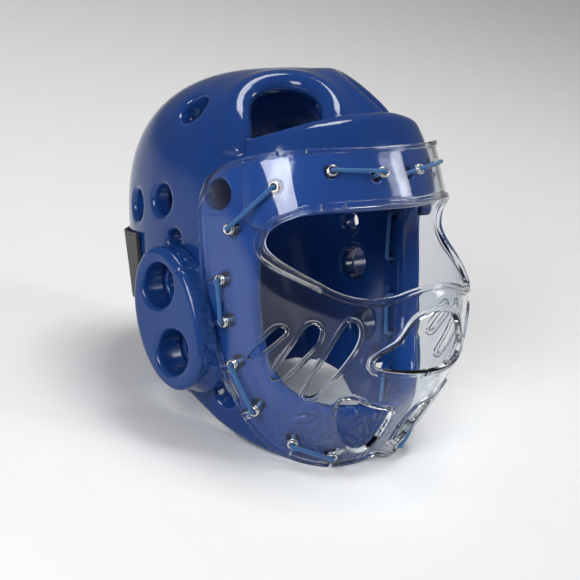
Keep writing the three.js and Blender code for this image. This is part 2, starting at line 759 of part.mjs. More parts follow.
// Depth below an eyelet at which its lace hole leaves the foam's inner face
function depthInside(seat) {
  const liner = (p) => {
    const row = shellSection(p.z, -FOAM);
    const reach = p.y < 0 ? row.front : row.back;
    return (Math.abs(p.x) / row.half) ** row.square + (Math.abs(p.y) / reach) ** row.square;
  };
  let depth = FOAM;
  while (liner(seat.middle.clone().addScaledVector(seat.normal, -depth)) > 1) depth += LACE_SEARCH_STEP;
  return depth + LACE_RADIUS + LINER_SLACK;
}

// Rounded corner between two directions at a point, as points of a curve that starts and ends a bend
// away from it
function corner(at, from, to, steps) {
  return Array.from({ length: steps + 1 }, (_, i) => {
    const t = i / steps;
    return at
      .clone()
      .addScaledVector(from, LACE_BEND * (1 - t) ** 2)
      .addScaledVector(to, LACE_BEND * t ** 2);
  });
}

// Lace of one side: out through an eyelet, along the shield, in through the next, and behind the foam
function lacePath(row) {
  const path = [];
  const inner = row.map((seat) =>
    seat.middle.clone().addScaledVector(seat.normal, -depthInside(seat)),
  );
  const proud = SHIELD_SHEET / 2 + EYELET_SLACK + EYELET_METAL + LACE_RADIUS + LACE_LIFT;
  const outer = row.map((seat) => seat.middle.clone().addScaledVector(seat.normal, proud));
  const toward = (a, b) => b.clone().sub(a).normalize();
  for (let i = 0; i < row.length; i += 2) {
    const j = i + 1;
    const [inA, inB] = [row[i].normal, row[j].normal];
    if (i > 0) path.push(...corner(inner[i], toward(inner[i], inner[i - 1]), inA, 1));
    else path.push(inner[i]);
    path.push(row[i].middle.clone().addScaledVector(inA, -SHIELD_SHEET));
    path.push(...corner(outer[i], inA.clone().negate(), toward(outer[i], outer[j]), 2));
    path.push(...corner(outer[j], toward(outer[j], outer[i]), inB.clone().negate(), 2));
    path.push(row[j].middle.clone().addScaledVector(inB, -SHIELD_SHEET));
    if (j + 1 < row.length) path.push(...corner(inner[j], inB, toward(inner[j], inner[j + 1]), 1));
    else path.push(inner[j]);
  }
  return path;
}

// Round cord along a path of points, each ring carried over from the last without a twist
function cord(path, radius, sides) {
  let across = null;
  const rings = path.map((p, i) => {
    const ahead = path[Math.min(i + 1, path.length - 1)].clone().sub(path[Math.max(i - 1, 0)]).normalize();
    if (!across) across = Math.abs(ahead.z) < 0.9 ? UP.clone() : vec(1, 0, 0);
    across = across.clone().addScaledVector(ahead, -across.dot(ahead)).normalize();
    const other = ahead.clone().cross(across);
    return Array.from({ length: sides }, (_, k) => {
      const a = (2 * Math.PI * k) / sides;
      return p
        .clone()
        .addScaledVector(across, radius * Math.cos(a))
        .addScaledVector(other, -radius * Math.sin(a));
    });
  });
  return skin(rings);
}

function lace(row) {
  const path = lacePath(row);
  let made = cord(path, LACE_RADIUS, LACE_SIDES);
  for (const end of [path[0], path.at(-1)]) {
    const knot = new THREE.IcosahedronGeometry(LACE_KNOT_RADIUS);
    made = made.add(solidOf(knot.translate(end.x, end.y, end.z)));
  }
  return made;
}

// Materials
const vinyl = new THREE.MeshStandardMaterial({ color: 0x14306f, roughness: 0.22, metalness: 0 });
const clear = new THREE.MeshStandardMaterial({
  color: 0xe8eef2,
  roughness: 0.05,
  metalness: 0,
  transparent: true,
  opacity: 0.3,
});
const nickel = new THREE.MeshStandardMaterial({ color: 0xc9c9c6, roughness: 0.25, metalness: 1 });
const cordBlue = new THREE.MeshStandardMaterial({ color: 0x1560a8, roughness: 0.7, metalness: 0 });
const webbing = new THREE.MeshStandardMaterial({ color: 0x0c0c0d, roughness: 0.85, metalness: 0 });

// Geometry of a solid that was joined or cut, less the slivers that the cuts leave
function geometryFrom(solid) {
  const mesh = solid.getMesh();
  const raw = new THREE.BufferGeometry();
  raw.setAttribute("position", new THREE.BufferAttribute(mesh.vertProperties, mesh.numProp));
  raw.setIndex(new THREE.BufferAttribute(mesh.triVerts, 1));
  const geometry = mergeVertices(raw, WELD);
  const corners = [...geometry.index.array];
  const kept = new Map();
  for (let i = 0; i < corners.length; i += 3) {
    const triangle = corners.slice(i, i + 3);
    const key = [...triangle].sort().join();
    if (new Set(triangle).size < triangle.length || kept.delete(key)) continue;
    kept.set(key, triangle);
  }
  geometry.setIndex([...kept.values()].flat());
  geometry.computeVertexNormals();
  return geometry;
}

const headgear = new THREE.Group();

function add(name, form, material) {
  const geometry = form.isBufferGeometry ? form : geometryFrom(form);
  const mesh = new THREE.Mesh(geometry, material);
  mesh.name = name;
  headgear.add(mesh);
}

add("foam_shell", foamShell(), vinyl);
add("forehead_band", foreheadBand(), vinyl);
add("ear_pad_right", earPad(-1), vinyl);
add("ear_pad_left", earPad(1), vinyl);
add("rear_strap_right", strapHalf(-1, 2 * STRAP_THICKNESS), webbing);
add("rear_strap_left", strapHalf(1, FIT_GAP), webbing);
add("face_shield", faceShield(), clear);
for (const [side, row] of Object.entries(seats)) {
  row.forEach((seat, i) => add(`eyelet_${side}_${i + 1}`, eyelet(seat), nickel));
  add(`lace_${side}`, lace(row), cordBlue);
}

// Set down as it rests by itself, leaning back on its chin and nape, with the origin under the middle
headgear.rotation.x = -Math.atan(REST_SLOPE);
headgear.updateMatrixWorld(true);
const bounds = new THREE.Box3().setFromObject(headgear, true);
headgear.position.set(
  -(bounds.min.x + bounds.max.x) / 2,
  -(bounds.min.y + bounds.max.y) / 2,
  -bounds.min.z,
);

export default headgear;
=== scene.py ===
import json
import math
import bpy
import numpy as np
from mathutils import Matrix


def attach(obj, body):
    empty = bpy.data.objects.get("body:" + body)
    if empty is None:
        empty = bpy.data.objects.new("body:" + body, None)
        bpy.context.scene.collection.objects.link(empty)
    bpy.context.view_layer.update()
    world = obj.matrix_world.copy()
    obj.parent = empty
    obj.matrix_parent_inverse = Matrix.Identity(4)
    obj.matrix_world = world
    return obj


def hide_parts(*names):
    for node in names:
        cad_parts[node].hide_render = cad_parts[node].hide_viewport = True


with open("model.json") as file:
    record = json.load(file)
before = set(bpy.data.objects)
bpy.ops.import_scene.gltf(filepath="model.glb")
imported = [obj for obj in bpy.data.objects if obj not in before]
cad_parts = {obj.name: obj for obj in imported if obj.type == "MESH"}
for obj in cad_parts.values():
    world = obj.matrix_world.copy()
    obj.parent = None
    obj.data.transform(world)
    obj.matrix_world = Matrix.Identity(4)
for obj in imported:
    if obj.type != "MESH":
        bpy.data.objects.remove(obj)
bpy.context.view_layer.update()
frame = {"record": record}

# Foam shell. Closed-cell foam moulded in one piece with its chin guard, crown arches and vents, then
# dipped in vinyl, which leaves a glossy skin that rolls softly over every rim.
# Shapes are worked out in millimetres in the head's own frame, which the mount head_seat places.
seat = next(m for m in frame["record"]["mounts"] if m["name"] == "head_seat")
up = np.array(seat["axis"], float)
HEAD_AXES = np.array([[1.0, 0.0, 0.0], np.cross(up, [1.0, 0.0, 0.0]), up])
HEAD_ORIGIN = np.array(seat["pos_m"], float)

FOAM = 16.0
CROWN_FROM, CROWN_RISE, CROWN_ROUND = 50.0, 106.0, 2.55
SHELL_SQUARE = 2.2
# height, half width, reach to the front, reach to the back
SHELL_SECTIONS = np.array([
    [-140, 52, 58, 52], [-122, 60, 71.5, 61.5], [-105, 69, 84.3, 71.4], [-80, 79, 97, 82],
    [-55, 87, 103, 93], [-30, 91.6, 104, 104], [0, 94.9, 104, 113.8], [22, 95.5, 103.2, 118.4],
    [50, 95.5, 101.4, 121], [78, 95.5, 99.5, 121], [104, 95.5, 97.4, 121], [124, 95.5, 96, 121],
    [170, 95.5, 92, 121]], float)
# turn in degrees from the front, height: right half of the face opening, from the brow to the lip
FACE_OPENING = np.array([
    [0, 58], [19, 58], [34, 57.4], [45, 54], [50.5, 46.5], [53, 35], [54, 12], [54, -12], [53, -31],
    [50, -48], [43, -61.5], [32, -71], [19, -75.5], [0, -77]], float)
# place to the back, height: lower edge of the shell seen from the side
LOWER_EDGE = np.array([
    [-125, -123.6], [-79, -120.6], [-62.4, -118.6], [-41.6, -110.7], [-20, -99], [-5, -89],
    [14.5, -72], [30, -66], [51, -63.6], [70, -68.3], [145, -39.9]], float)
# turn, height, radius: vents of one side
VENTS = [(100, 130.4, 11.6), (105, 66.8, 10.5), (126, 61.6, 10.5), (97, 39.8, 6.5), (72, 72, 10.5),
         (75, -66.6, 10.5)]
TOP_VENT_BACK, TOP_VENT_HEIGHT, TOP_VENT_RADIUS = 26.0, 155.0, 10.5
# place to the back, height: ear holes of one side
EAR_HOLES = [(8.5, 9.6), (-4.5, -35.6)]
EAR_HOLE_SIDE, EAR_HOLE_RADIUS = 96.0, 12.0
ARCH_HALF_WIDTH, ARCH_HEIGHT, ARCH_TURN, ARCH_TILT = 27.0, 47.0, 41.0, 40.0
ARCH_FOOT, ARCH_ROLL, ARCH_BELOW, ARCH_DEPTH = 118.0, 4.0, 8.0, 45.0
WELT_RISE, WELT_OUT, WELT_SPREAD, WELT_FROM, WELT_DEPTH = 2.2, 15.0, 7.0, 100.0, 25.0
NOTCH_HALF_WIDTH, NOTCH_SQUARE_TOP, NOTCH_WIDEN, NOTCH_FLATTEN = 23.0, 35.0, 1.25, 1.15
# how deep each kind of hole goes behind its mouth, and how softly each kind of edge is rounded
VENT_DEPTH, LACE_HOLE_DEPTH, EAR_HOLE_DEPTH = 34, 60, 50
FACE_SOFT, HEM_SOFT, NOTCH_SOFT, ARCH_SOFT = 6.5, 5.5, 5.5, 12.0
VENT_SOFT, LACE_HOLE_SOFT, EAR_HOLE_SOFT = 4.2, 1.2, 2.5
# turn, height: lace eyelets of one side, top middle first
EYELETS = np.array([
    [10.5, 85.1], [32, 87.6], [55, 77.6], [74, 49.2], [79.5, 14.4], [79.5, -14.5],
    [77, -43.6], [69, -76.5], [51, -101.2], [28, -112.7]], float)
LACE_HOLE_RADIUS = 4.5
SHIELD_BACK, SHIELD_SHEET = -13.0, 2.6
# height, half width, reach to the front: outer face of the shield, which the eyelets sit in
SHIELD_SECTIONS = np.array([
    [-140, 57, 64], [-118, 67.5, 80.5], [-100, 76.9, 96], [-80, 86.3, 114.2], [-62, 91.8, 129.2],
    [-45, 95.2, 139.9], [-23, 97.4, 146.8], [0, 99.3, 148.8], [30, 100, 139], [58, 99.9, 128.2],
    [85, 98.7, 119.8], [112, 97.2, 111.4], [125, 96.5, 107.5]], float)


def curve_through(at, places, values):
    """Smooth curve through a table: a cubic between each two rows, whose slopes at the rows are those
    of the neighbouring rows."""
    slopes = np.gradient(values, places)
    i = np.clip(np.searchsorted(places, at) - 1, 0, len(places) - 2)
    step = places[i + 1] - places[i]
    t = np.clip((at - places[i]) / step, 0, 1)
    s = 1 - t
    return (s * s * ((1 + 2 * t) * values[i] + t * step * slopes[i])
            + t * t * ((3 - 2 * t) * values[i + 1] - s * step * slopes[i + 1]))


TABLE_LOW, TABLE_HIGH, TABLE_STEP = -150.0, 190.0, 0.5


def fine_table(rows):
    """A table resampled along its smooth curves at an even step, one row for each column."""
    at = np.arange(TABLE_LOW, TABLE_HIGH, TABLE_STEP)
    return np.stack([curve_through(at, rows[:, 0], rows[:, k]) for k in range(1, rows.shape[1])])


def read_table(table, z):
    """Values of every column at a height, straight between the even steps."""
    f = np.clip((z - TABLE_LOW) / TABLE_STEP, 0, table.shape[1] - 1.001)
    i = f.astype(int)
    return table[:, i] + (table[:, i + 1] - table[:, i]) * (f - i)


shell_table, shield_table = fine_table(SHELL_SECTIONS), fine_table(SHIELD_SECTIONS)


def smooth_loop(points, per_span):
    """Closed curve through points: a Catmull-Rom cubic over each span, which passes through every
    point with the direction of its two neighbours."""
    a, b, c, d = (np.roll(points, s, axis=0)[:, None] for s in (1, 0, -1, -2))
    t = (np.arange(per_span) / per_span)[None, :, None]
    span = (2 * b + (c - a) * t + (2 * a - 5 * b + 4 * c - d) * t ** 2 + (3 * b - a - 3 * c + d) * t ** 3) / 2
    return span.reshape(-1, points.shape[1])


def both_sides(half):
    """Closed outline from its right half: the half, then its mirror image from the bottom up."""
    inner = half[half[:, 0] > 0]
    return np.vstack([half, inner[::-1] * [-1, 1]])


def distance_chart(loop, low, high, step):
    """Signed distance to a closed loop on a flat chart, sampled on a grid: the nearest distance to any
    of its straight pieces, negative inside by the even-odd rule."""
    nu, nv = (int(math.ceil((h - l) / step)) + 1 for l, h in zip(low, high))
    gu, gv = np.meshgrid(low[0] + step * np.arange(nu), low[1] + step * np.arange(nv), indexing="ij")
    best = np.full(gu.shape, 1e12)
    inside = np.zeros(gu.shape, bool)
    for a, b in zip(loop, np.roll(loop, -1, axis=0)):
        edge = b - a
        t = np.clip(((gu - a[0]) * edge[0] + (gv - a[1]) * edge[1]) / max(edge @ edge, 1e-12), 0, 1)
        best = np.minimum(best, (gu - a[0] - t * edge[0]) ** 2 + (gv - a[1] - t * edge[1]) ** 2)
        if a[1] != b[1]:
            crosses = (a[1] > gv) != (b[1] > gv)
            inside ^= crosses & (gu < a[0] + (gv - a[1]) * edge[0] / edge[1])
    return np.where(inside, -1.0, 1.0) * np.sqrt(best), low, step


def read_chart(chart, u, v):
    """Bilinear value of a sampled chart."""
    grid, low, step = chart
    fu = np.clip((u - low[0]) / step, 0, grid.shape[0] - 1.001)
    fv = np.clip((v - low[1]) / step, 0, grid.shape[1] - 1.001)
    i, j = fu.astype(int), fv.astype(int)
    s, t = fu - i, fv - j
    return ((1 - s) * ((1 - t) * grid[i, j] + t * grid[i, j + 1])
            + s * ((1 - t) * grid[i + 1, j] + t * grid[i + 1, j + 1]))


def carve(solid, hole, rounding):
    """A solid less a hole, both signed distances: the larger of the solid's distance and the hole's
    turned inside out, with a quarter circle of the given radius along their edge."""
    a, b = solid + rounding, rounding - hole
    return np.minimum(np.maximum(solid, -hole), -rounding) + np.hypot(np.maximum(a, 0), np.maximum(b, 0))


def skin_ratio(p):
    """Scale at which a point lies on the shell's skin: a superellipse in each level section, closed
    over the crown by a second superellipse in height."""
    z = p[:, 2]
    half, front, back = read_table(shell_table, z)
    reach = np.where(p[:, 1] < 0, front, back)
    flat = np.abs(p[:, 0] / half) ** SHELL_SQUARE + np.abs(p[:, 1] / reach) ** SHELL_SQUARE
    flat = flat ** (1 / SHELL_SQUARE)
    rise = np.maximum(z - CROWN_FROM, 0) / CROWN_RISE
    return (flat ** CROWN_ROUND + rise ** CROWN_ROUND) ** (1 / CROWN_ROUND)


def slope_of(field, p, step):
    """Gradient of a field at points, from its values a step to either side on each axis."""
    return np.stack([field(p + step * e) - field(p - step * e) for e in np.eye(3)], 1) / (2 * step)


def outside_skin(p):
    """Distance outside the shell's skin: the ratio less one over the length of its gradient."""
    return (skin_ratio(p) - 1) / np.maximum(np.linalg.norm(slope_of(skin_ratio, p, 0.5), axis=1), 1e-5)


def skin_point(turn, z):
    """Point of the shell's skin at a turn in degrees from the front and a height."""
    t = math.radians(turn)
    ray = np.array([math.sin(t), -math.cos(t), 0.0])
    reach = np.linspace(5, 160, 3000)[:, None]
    line = reach * ray + [0, 0, z]
    return line[np.argmin(np.abs(skin_ratio(line) - 1))]


def normal_at(field, p):
    """Unit gradient of a distance field at points."""
    slope = slope_of(field, p, 0.5)
    return slope / np.linalg.norm(slope, axis=1, keepdims=True)


def bore(p, at, way, radius, behind):
    """Distance to a round hole: from its axis less its radius, closed a length behind its mouth."""
    along = (p - at) @ way
    across = np.linalg.norm(p - at - along[:, None] * way, axis=1)
    return np.maximum(across - radius, -(along + behind))


def shield_point(turn, z):
    """Point of the shield's outer face: a half ellipse in each level section, about an upright axis
    behind the face, at a turn in radians."""
    half, front = read_table(shield_table, z)
    return np.stack([half * np.sin(turn), SHIELD_BACK - (front + SHIELD_BACK) * np.cos(turn), z], -1)


def shield_normal(turn, z):
    """Outward normal of the shield: across the surface one way by up it the other."""
    d = 1e-3
    across = shield_point(turn + d, z) - shield_point(turn - d, z)
    upward = shield_point(turn, z + 200 * d) - shield_point(turn, z - 200 * d)
    n = np.cross(across, upward)
    return n / np.linalg.norm(n, axis=-1, keepdims=True)


def eyelet_seats(side):
    """Middles of one side's eyelets, half way through the sheet, and the normals there."""
    turn, z = np.radians(EYELETS[:, 0]) * side, EYELETS[:, 1]
    n = shield_normal(turn, z)
    return shield_point(turn, z) - n * SHIELD_SHEET / 2, n


lace_holes = [hole for side in (-1, 1) for hole in zip(*eyelet_seats(side))]
vent_seats = []
for side in (-1, 1):
    for turn, z, radius in VENTS:
        at = skin_point(side * turn, z)
        vent_seats.append((at, normal_at(outside_skin, at[None])[0], radius))
top_vent = np.array([0.0, TOP_VENT_BACK, TOP_VENT_HEIGHT])
vent_seats.append((top_vent, np.array([0.0, 0.0, 1.0]), TOP_VENT_RADIUS))

# Outlines drawn round the head lie on a flat chart, where a degree of turn is this many millimetres.
DEGREE = math.radians(1) * 95.0
SMOOTH = 8
face_loop = smooth_loop(both_sides(FACE_OPENING), SMOOTH) * [DEGREE, 1]
face_chart = distance_chart(face_loop, (-130, -130), (130, 110), 0.8)
edge_loop = np.vstack([LOWER_EDGE, [[145, -260], [-125, -260]]])
edge_chart = distance_chart(edge_loop, (-140, -160), (150, -20), 0.8)


def turn_of(p):
    """Turn of a point round the head from the front, in degrees."""
    return np.degrees(np.arctan2(p[:, 0], -p[:, 1]))


def arch_frame(side):
    """Foot, across, upward and outward directions of a crown arch."""
    tilt, turn = math.radians(ARCH_TILT), math.radians(side * ARCH_TURN)
    flat = np.array([math.sin(turn), -math.cos(turn), 0.0])
    out = flat * math.cos(tilt) + np.array([0, 0, math.sin(tilt)])
    across = np.cross([0, 0, 1.0], out)
    across /= np.linalg.norm(across)
    return skin_point(side * ARCH_TURN, ARCH_FOOT), across, np.cross(out, across), out


def arch_distance(p, side):
    """Distance to a crown arch's opening: a half disc on top of a box, seen along its own way out."""
    foot, across, upward, out = arch_frame(side)
    u, v, w = (p - foot) @ across, (p - foot) @ upward, (p - foot) @ out
    straight = ARCH_HEIGHT - ARCH_HALF_WIDTH
    domed = np.hypot(u, v - straight) - ARCH_HALF_WIDTH + ARCH_ROLL
    boxed = np.maximum(np.abs(u) - ARCH_HALF_WIDTH + ARCH_ROLL, -v - ARCH_BELOW)
    shape = np.where(v > straight, domed, boxed)
    return np.maximum(shape, -(w + ARCH_DEPTH)), w


def less_lace_holes(d, p):
    """A distance less the holes that the laces pass through, worked out only near the surface."""
    near = d < 3
    q, e = p[near], d[near]
    for at, way in lace_holes:
        e = carve(e, bore(q, at, way, LACE_HOLE_RADIUS, LACE_HOLE_DEPTH), LACE_HOLE_SOFT)
    d[near] = e
    return d


def foam_field(p):
    """Distance outside the foam shell: a wall under the skin, raised in a welt round each arch, less
    its openings, each with its own rounding."""
    out = outside_skin(p)
    arches = []
    for side in (-1, 1):
        shape, w = arch_distance(p, side)
        arches.append(shape)
        welt = WELT_RISE * np.exp(-((shape - WELT_OUT) / WELT_SPREAD) ** 2)
        out = out - welt * (p[:, 2] > WELT_FROM) * (w > -WELT_DEPTH)
    solid = np.maximum(out, -(out + FOAM))
    near = solid < 4
    q, d = p[near], solid[near]
    turn = turn_of(q)
    face = np.where(q[:, 1] < 60, read_chart(face_chart, turn * DEGREE, q[:, 2]), 99.0)
    d = carve(d, face, FACE_SOFT)
    d = carve(d, read_chart(edge_chart, q[:, 1], q[:, 2]), HEM_SOFT)
    behind = np.abs(np.abs(turn) - 180) * DEGREE * NOTCH_WIDEN
    above = q[:, 2] - NOTCH_SQUARE_TOP
    notch = np.where(above > 0, np.hypot(behind, above * NOTCH_FLATTEN), behind) - NOTCH_HALF_WIDTH
    d = carve(d, np.where(q[:, 1] > 0, notch, 99.0), NOTCH_SOFT)
    for shape in arches:
        d = carve(d, shape[near], ARCH_SOFT)
    for at, way, radius in vent_seats:
        d = carve(d, bore(q, at, way, radius, VENT_DEPTH), VENT_SOFT)
    for side in (-1, 1):
        for y, z in EAR_HOLES:
            at, way = np.array([side * EAR_HOLE_SIDE, y, z]), np.array([side, 0.0, 0.0])
            d = carve(d, bore(q, at, way, EAR_HOLE_RADIUS, EAR_HOLE_DEPTH), EAR_HOLE_SOFT)
    solid[near] = d
    return less_lace_holes(solid, p)


def skin_over(field, low, high, step):
    """Quads over the zero level of a field. Each grid cell that the level crosses gets one point, the
    mean of the crossings on its edges, and each grid edge that it crosses gets one quad. The points
    are then moved along the field's gradient onto the level itself. A coarse grid comes first, and
    the fine one is worked out only in the coarse cells that lie near the level."""
    ratio = 4

    def spread(block):
        """Every coarse cell's value on each of its fine cells."""
        for axis in range(3):
            block = np.repeat(block, ratio, axis)
        return block

    blocks = [int((h - l) / (step * ratio)) + 2 for l, h in zip(low, high)]
    counts = [ratio * n for n in blocks]
    middle = np.stack(np.meshgrid(*[l + step * ratio * (np.arange(n) + 0.5) for l, n in zip(low, blocks)],
                                  indexing="ij"), -1).reshape(-1, 3)
    rough = field(middle).reshape(blocks)
    value = spread(rough).astype(np.float32)
    fine = np.argwhere(spread(np.abs(rough) < step * ratio * 1.35))
    for part in np.array_split(fine, max(1, len(fine) // 60000)):
        value[tuple(part.T)] = field(part * step + np.array(low))
    inside = value < 0
    cells = tuple(n - 1 for n in counts)
    total, number = np.zeros(cells + (3,), np.float32), np.zeros(cells, np.int16)
    cuts = []
    for axis in range(3):
        first = [slice(None)] * 3
        second = [slice(None)] * 3
        first[axis], second[axis] = slice(None, -1), slice(1, None)
        a, b = value[tuple(first)], value[tuple(second)]
        cut = inside[tuple(first)] != inside[tuple(second)]
        share = np.where(cut, a / np.where(cut, a - b, 1), 0)
        cuts.append((cut, inside[tuple(first)]))
        others = [k for k in range(3) if k != axis]
        for da in (0, 1):
            for db in (0, 1):
                pick = [slice(None)] * 3
                pick[others[0]] = slice(da, da + cells[others[0]])
                pick[others[1]] = slice(db, db + cells[others[1]])
                hit = cut[tuple(pick)]
                number += hit
                total[..., axis] += np.where(hit, share[tuple(pick)], 0)
                total[..., others[0]] += hit * da
                total[..., others[1]] += hit * db
    used = number > 0
    index = np.full(cells, -1)
    index[used] = np.arange(used.sum())
    points = (np.argwhere(used) + total[used] / number[used][:, None]) * step + np.array(low)
    quads = []
    for axis in range(3):
        cut, low_inside = cuts[axis]
        u, v = (axis + 1) % 3, (axis + 2) % 3
        at = np.argwhere(cut)
        at = at[(at[:, u] > 0) & (at[:, v] > 0) & (at[:, u] < cells[u]) & (at[:, v] < cells[v])]
        ring = []
        for du, dv in ((-1, -1), (0, -1), (0, 0), (-1, 0)):
            c = at.copy()
            c[:, u] += du
            c[:, v] += dv
            ring.append(index[c[:, 0], c[:, 1], c[:, 2]])
        ring = np.stack(ring, 1)
        out = low_inside[at[:, 0], at[:, 1], at[:, 2]]
        quads.append(np.where(out[:, None], ring, ring[:, ::-1]))
    for _ in range(2):
        slope = slope_of(field, points, 0.35)
        size = np.maximum((slope ** 2).sum(1), 0.3)
        points = points - np.clip(field(points) / size, -step / 2, step / 2)[:, None] * slope
    return points, np.vstack(quads)


def new_piece(name, points, faces, material, node_names, uv=None, crease=None):
    """Smooth mesh from points in head millimetres and lists of faces, put in the row's metres, that
    stands for CAD nodes and rides with the part. It can carry a map and a share of creasing."""
    mesh = bpy.data.meshes.new(name)
    sizes = np.concatenate([np.full(len(f), f.shape[1]) for f in faces])
    corners = np.concatenate([f.ravel() for f in faces])
    mesh.vertices.add(len(points))
    mesh.vertices.foreach_set("co", (points @ HEAD_AXES / 1000 + HEAD_ORIGIN).astype(np.float32).ravel())
    mesh.loops.add(len(corners))
    mesh.loops.foreach_set("vertex_index", corners.astype(np.int32))
    mesh.polygons.add(len(sizes))
    mesh.polygons.foreach_set("loop_start", np.concatenate([[0], np.cumsum(sizes)[:-1]]).astype(np.int32))
    mesh.polygons.foreach_set("loop_total", sizes.astype(np.int32))
    mesh.polygons.foreach_set("use_smooth", np.ones(len(sizes), bool))
    if uv is not None:
        mesh.uv_layers.new(name="run").data.foreach_set("uv", uv[corners].astype(np.float32).ravel())
    if crease is not None:
        mesh.attributes.new("crease", "FLOAT", "POINT").data.foreach_set("value", crease.astype(np.float32))
    mesh.update(calc_edges=True)
    mesh.validate()
    mesh.materials.append(material)
    piece = bpy.data.objects.new(name, mesh)
    bpy.context.scene.collection.objects.link(piece)
    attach(piece, "root")
    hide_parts(*node_names)
    return piece


def effect_group(name, inputs, outputs):
    """Empty shader group with named number or colour sockets."""
    group = bpy.data.node_groups.new(name, "ShaderNodeTree")
    for label, kind, value in inputs:
        socket = group.interface.new_socket(label, in_out="INPUT", socket_type=kind)
        if value is not None:
            socket.default_value = value
    for label, kind in outputs:
        group.interface.new_socket(label, in_out="OUTPUT", socket_type=kind)
    return group, group.nodes.new("NodeGroupInput"), group.nodes.new("NodeGroupOutput")


def feed(tree, node, values):
    """Puts a constant, or another node's output, on each named socket of a node."""
    for key, value in values.items():
        if isinstance(value, bpy.types.NodeSocket):
            tree.links.new(value, node.inputs[key])
        else:
            node.inputs[key].default_value = value


def add_node(tree, kind, values, **settings):
    """Node with its settings and what is put on its sockets."""
    node = tree.nodes.new(kind)
    for key, value in settings.items():
        setattr(node, key, value)
    feed(tree, node, values)
    return node


def object_place(tree):
    """Place in the piece's own metres."""
    return add_node(tree, "ShaderNodeTexCoord", {}).outputs["Object"]


def noise(tree, place, **values):
    """Value of a noise texture at a place."""
    return add_node(tree, "ShaderNodeTexNoise", {"Vector": place} | values).outputs["Fac"]


def in_range(tree, value, low, high, from_low=0.0, from_high=1.0):
    """Value stretched from one range onto another and kept within it."""
    ranges = {"Value": value, "From Min": from_low, "From Max": from_high, "To Min": low, "To Max": high}
    return add_node(tree, "ShaderNodeMapRange", ranges).outputs["Result"]


def colour_between(tree, share, first, second):
    """Colour between two, by a share."""
    return add_node(tree, "ShaderNodeMix", {0: share, 6: first, 7: second}, data_type="RGBA").outputs[2]


def bump(tree, height, strength, distance, normal=None):
    """Normal bent by a height, on top of another normal where there is one."""
    values = {"Height": height, "Strength": strength, "Distance": distance}
    if normal is not None:
        values["Normal"] = normal
    return add_node(tree, "ShaderNodeBump", values).outputs["Normal"]


def new_material(name):
    """Material, its node tree and its shader."""
    material = bpy.data.materials.new(name)
    material.use_nodes = True
    return material, material.node_tree, material.node_tree.nodes["Principled BSDF"]


# Dipped skin: long shallow waves from the dip, fine orange peel, folds where the foam is bent, and
# faint scuffs that dull the gloss.
dip, dip_in, dip_out = effect_group(
    "dipped_skin",
    [("Wave", "NodeSocketFloat", 26.0), ("Peel", "NodeSocketFloat", 420.0),
     ("Depth", "NodeSocketFloat", 0.25), ("Crease", "NodeSocketFloat", 0.0)],
    [("Normal", "NodeSocketVector"), ("Scuff", "NodeSocketFloat"), ("Tone", "NodeSocketFloat")])
place = object_place(dip)
wave = noise(dip, place, Scale=dip_in.outputs["Wave"], Detail=1.0, Roughness=0.4)
peel = noise(dip, place, Scale=dip_in.outputs["Peel"], Detail=2.0, Roughness=0.5)
waved = bump(dip, wave, dip_in.outputs["Depth"], 0.0016)
peeled = bump(dip, peel, 0.045, 0.0003, waved)
bent = add_node(dip, "ShaderNodeTexNoise", {"Vector": place, "Scale": 30.0, "Detail": 2.0}).outputs["Color"]
warped = add_node(dip, "ShaderNodeMix", {"Factor": 0.035, 4: place, 5: bent}, data_type="VECTOR").outputs[1]
folds = add_node(dip, "ShaderNodeTexVoronoi", {"Vector": warped, "Scale": 95.0}, feature="DISTANCE_TO_EDGE")
valley = add_node(dip, "ShaderNodeMapRange", {"Value": folds.outputs["Distance"], "From Max": 0.22},
                  interpolation_type="SMOOTHSTEP").outputs["Result"]
scuff = noise(dip, place, Scale=75.0, Detail=6.0, Roughness=0.72, Distortion=1.2)
feed(dip, dip_out, {
    "Normal": bump(dip, valley, dip_in.outputs["Crease"], 0.0016, peeled),
    "Scuff": in_range(dip, scuff, 0.0, 1.0, 0.56, 0.78),
    "Tone": noise(dip, place, Scale=14.0, Detail=3.0)})


def dipped_vinyl(name, deep, bright, gloss, depth):
    """Glossy vinyl: colour drifting between two blues, roughness raised a little by scuffs."""
    material, tree, shader = new_material(name)
    creased = add_node(tree, "ShaderNodeAttribute", {}, attribute_name="crease").outputs["Fac"]
    skin = add_node(tree, "ShaderNodeGroup", {}, node_tree=dip)
    feed(tree, skin, {"Depth": depth, "Crease": creased})
    feed(tree, shader, {
        "Base Color": colour_between(tree, skin.outputs["Tone"], deep + (1,), bright + (1,)),
        "Roughness": in_range(tree, skin.outputs["Scuff"], gloss, gloss + 0.16),
        "Normal": skin.outputs["Normal"],
        "IOR": 1.4, "Coat Weight": 0.12, "Coat Roughness": 0.05})
    return material


shell_vinyl = dipped_vinyl("shell_vinyl", (0.006, 0.031, 0.150), (0.010, 0.050, 0.215), 0.11, 0.3)
shell_points, shell_quads = skin_over(foam_field, (-104, -112, -126), (104, 130, 162), 2.1)
# The skin is creased on the front of the chin, where the foam is bent when the shield is laced on.
CREASE_TOP, CREASE_BACK, CREASE_BEHIND = -60, -45, -9
creased = (np.clip((CREASE_TOP - shell_points[:, 2]) / 18, 0, 1)
           * np.clip((CREASE_BACK - shell_points[:, 1]) / 15, 0, 1)
           * np.clip((outside_skin(shell_points) - CREASE_BEHIND) / 5, 0, 1))
shell = new_piece("foam_shell_dipped", shell_points, [shell_quads], shell_vinyl, ["foam_shell"],
                  crease=0.75 * creased)

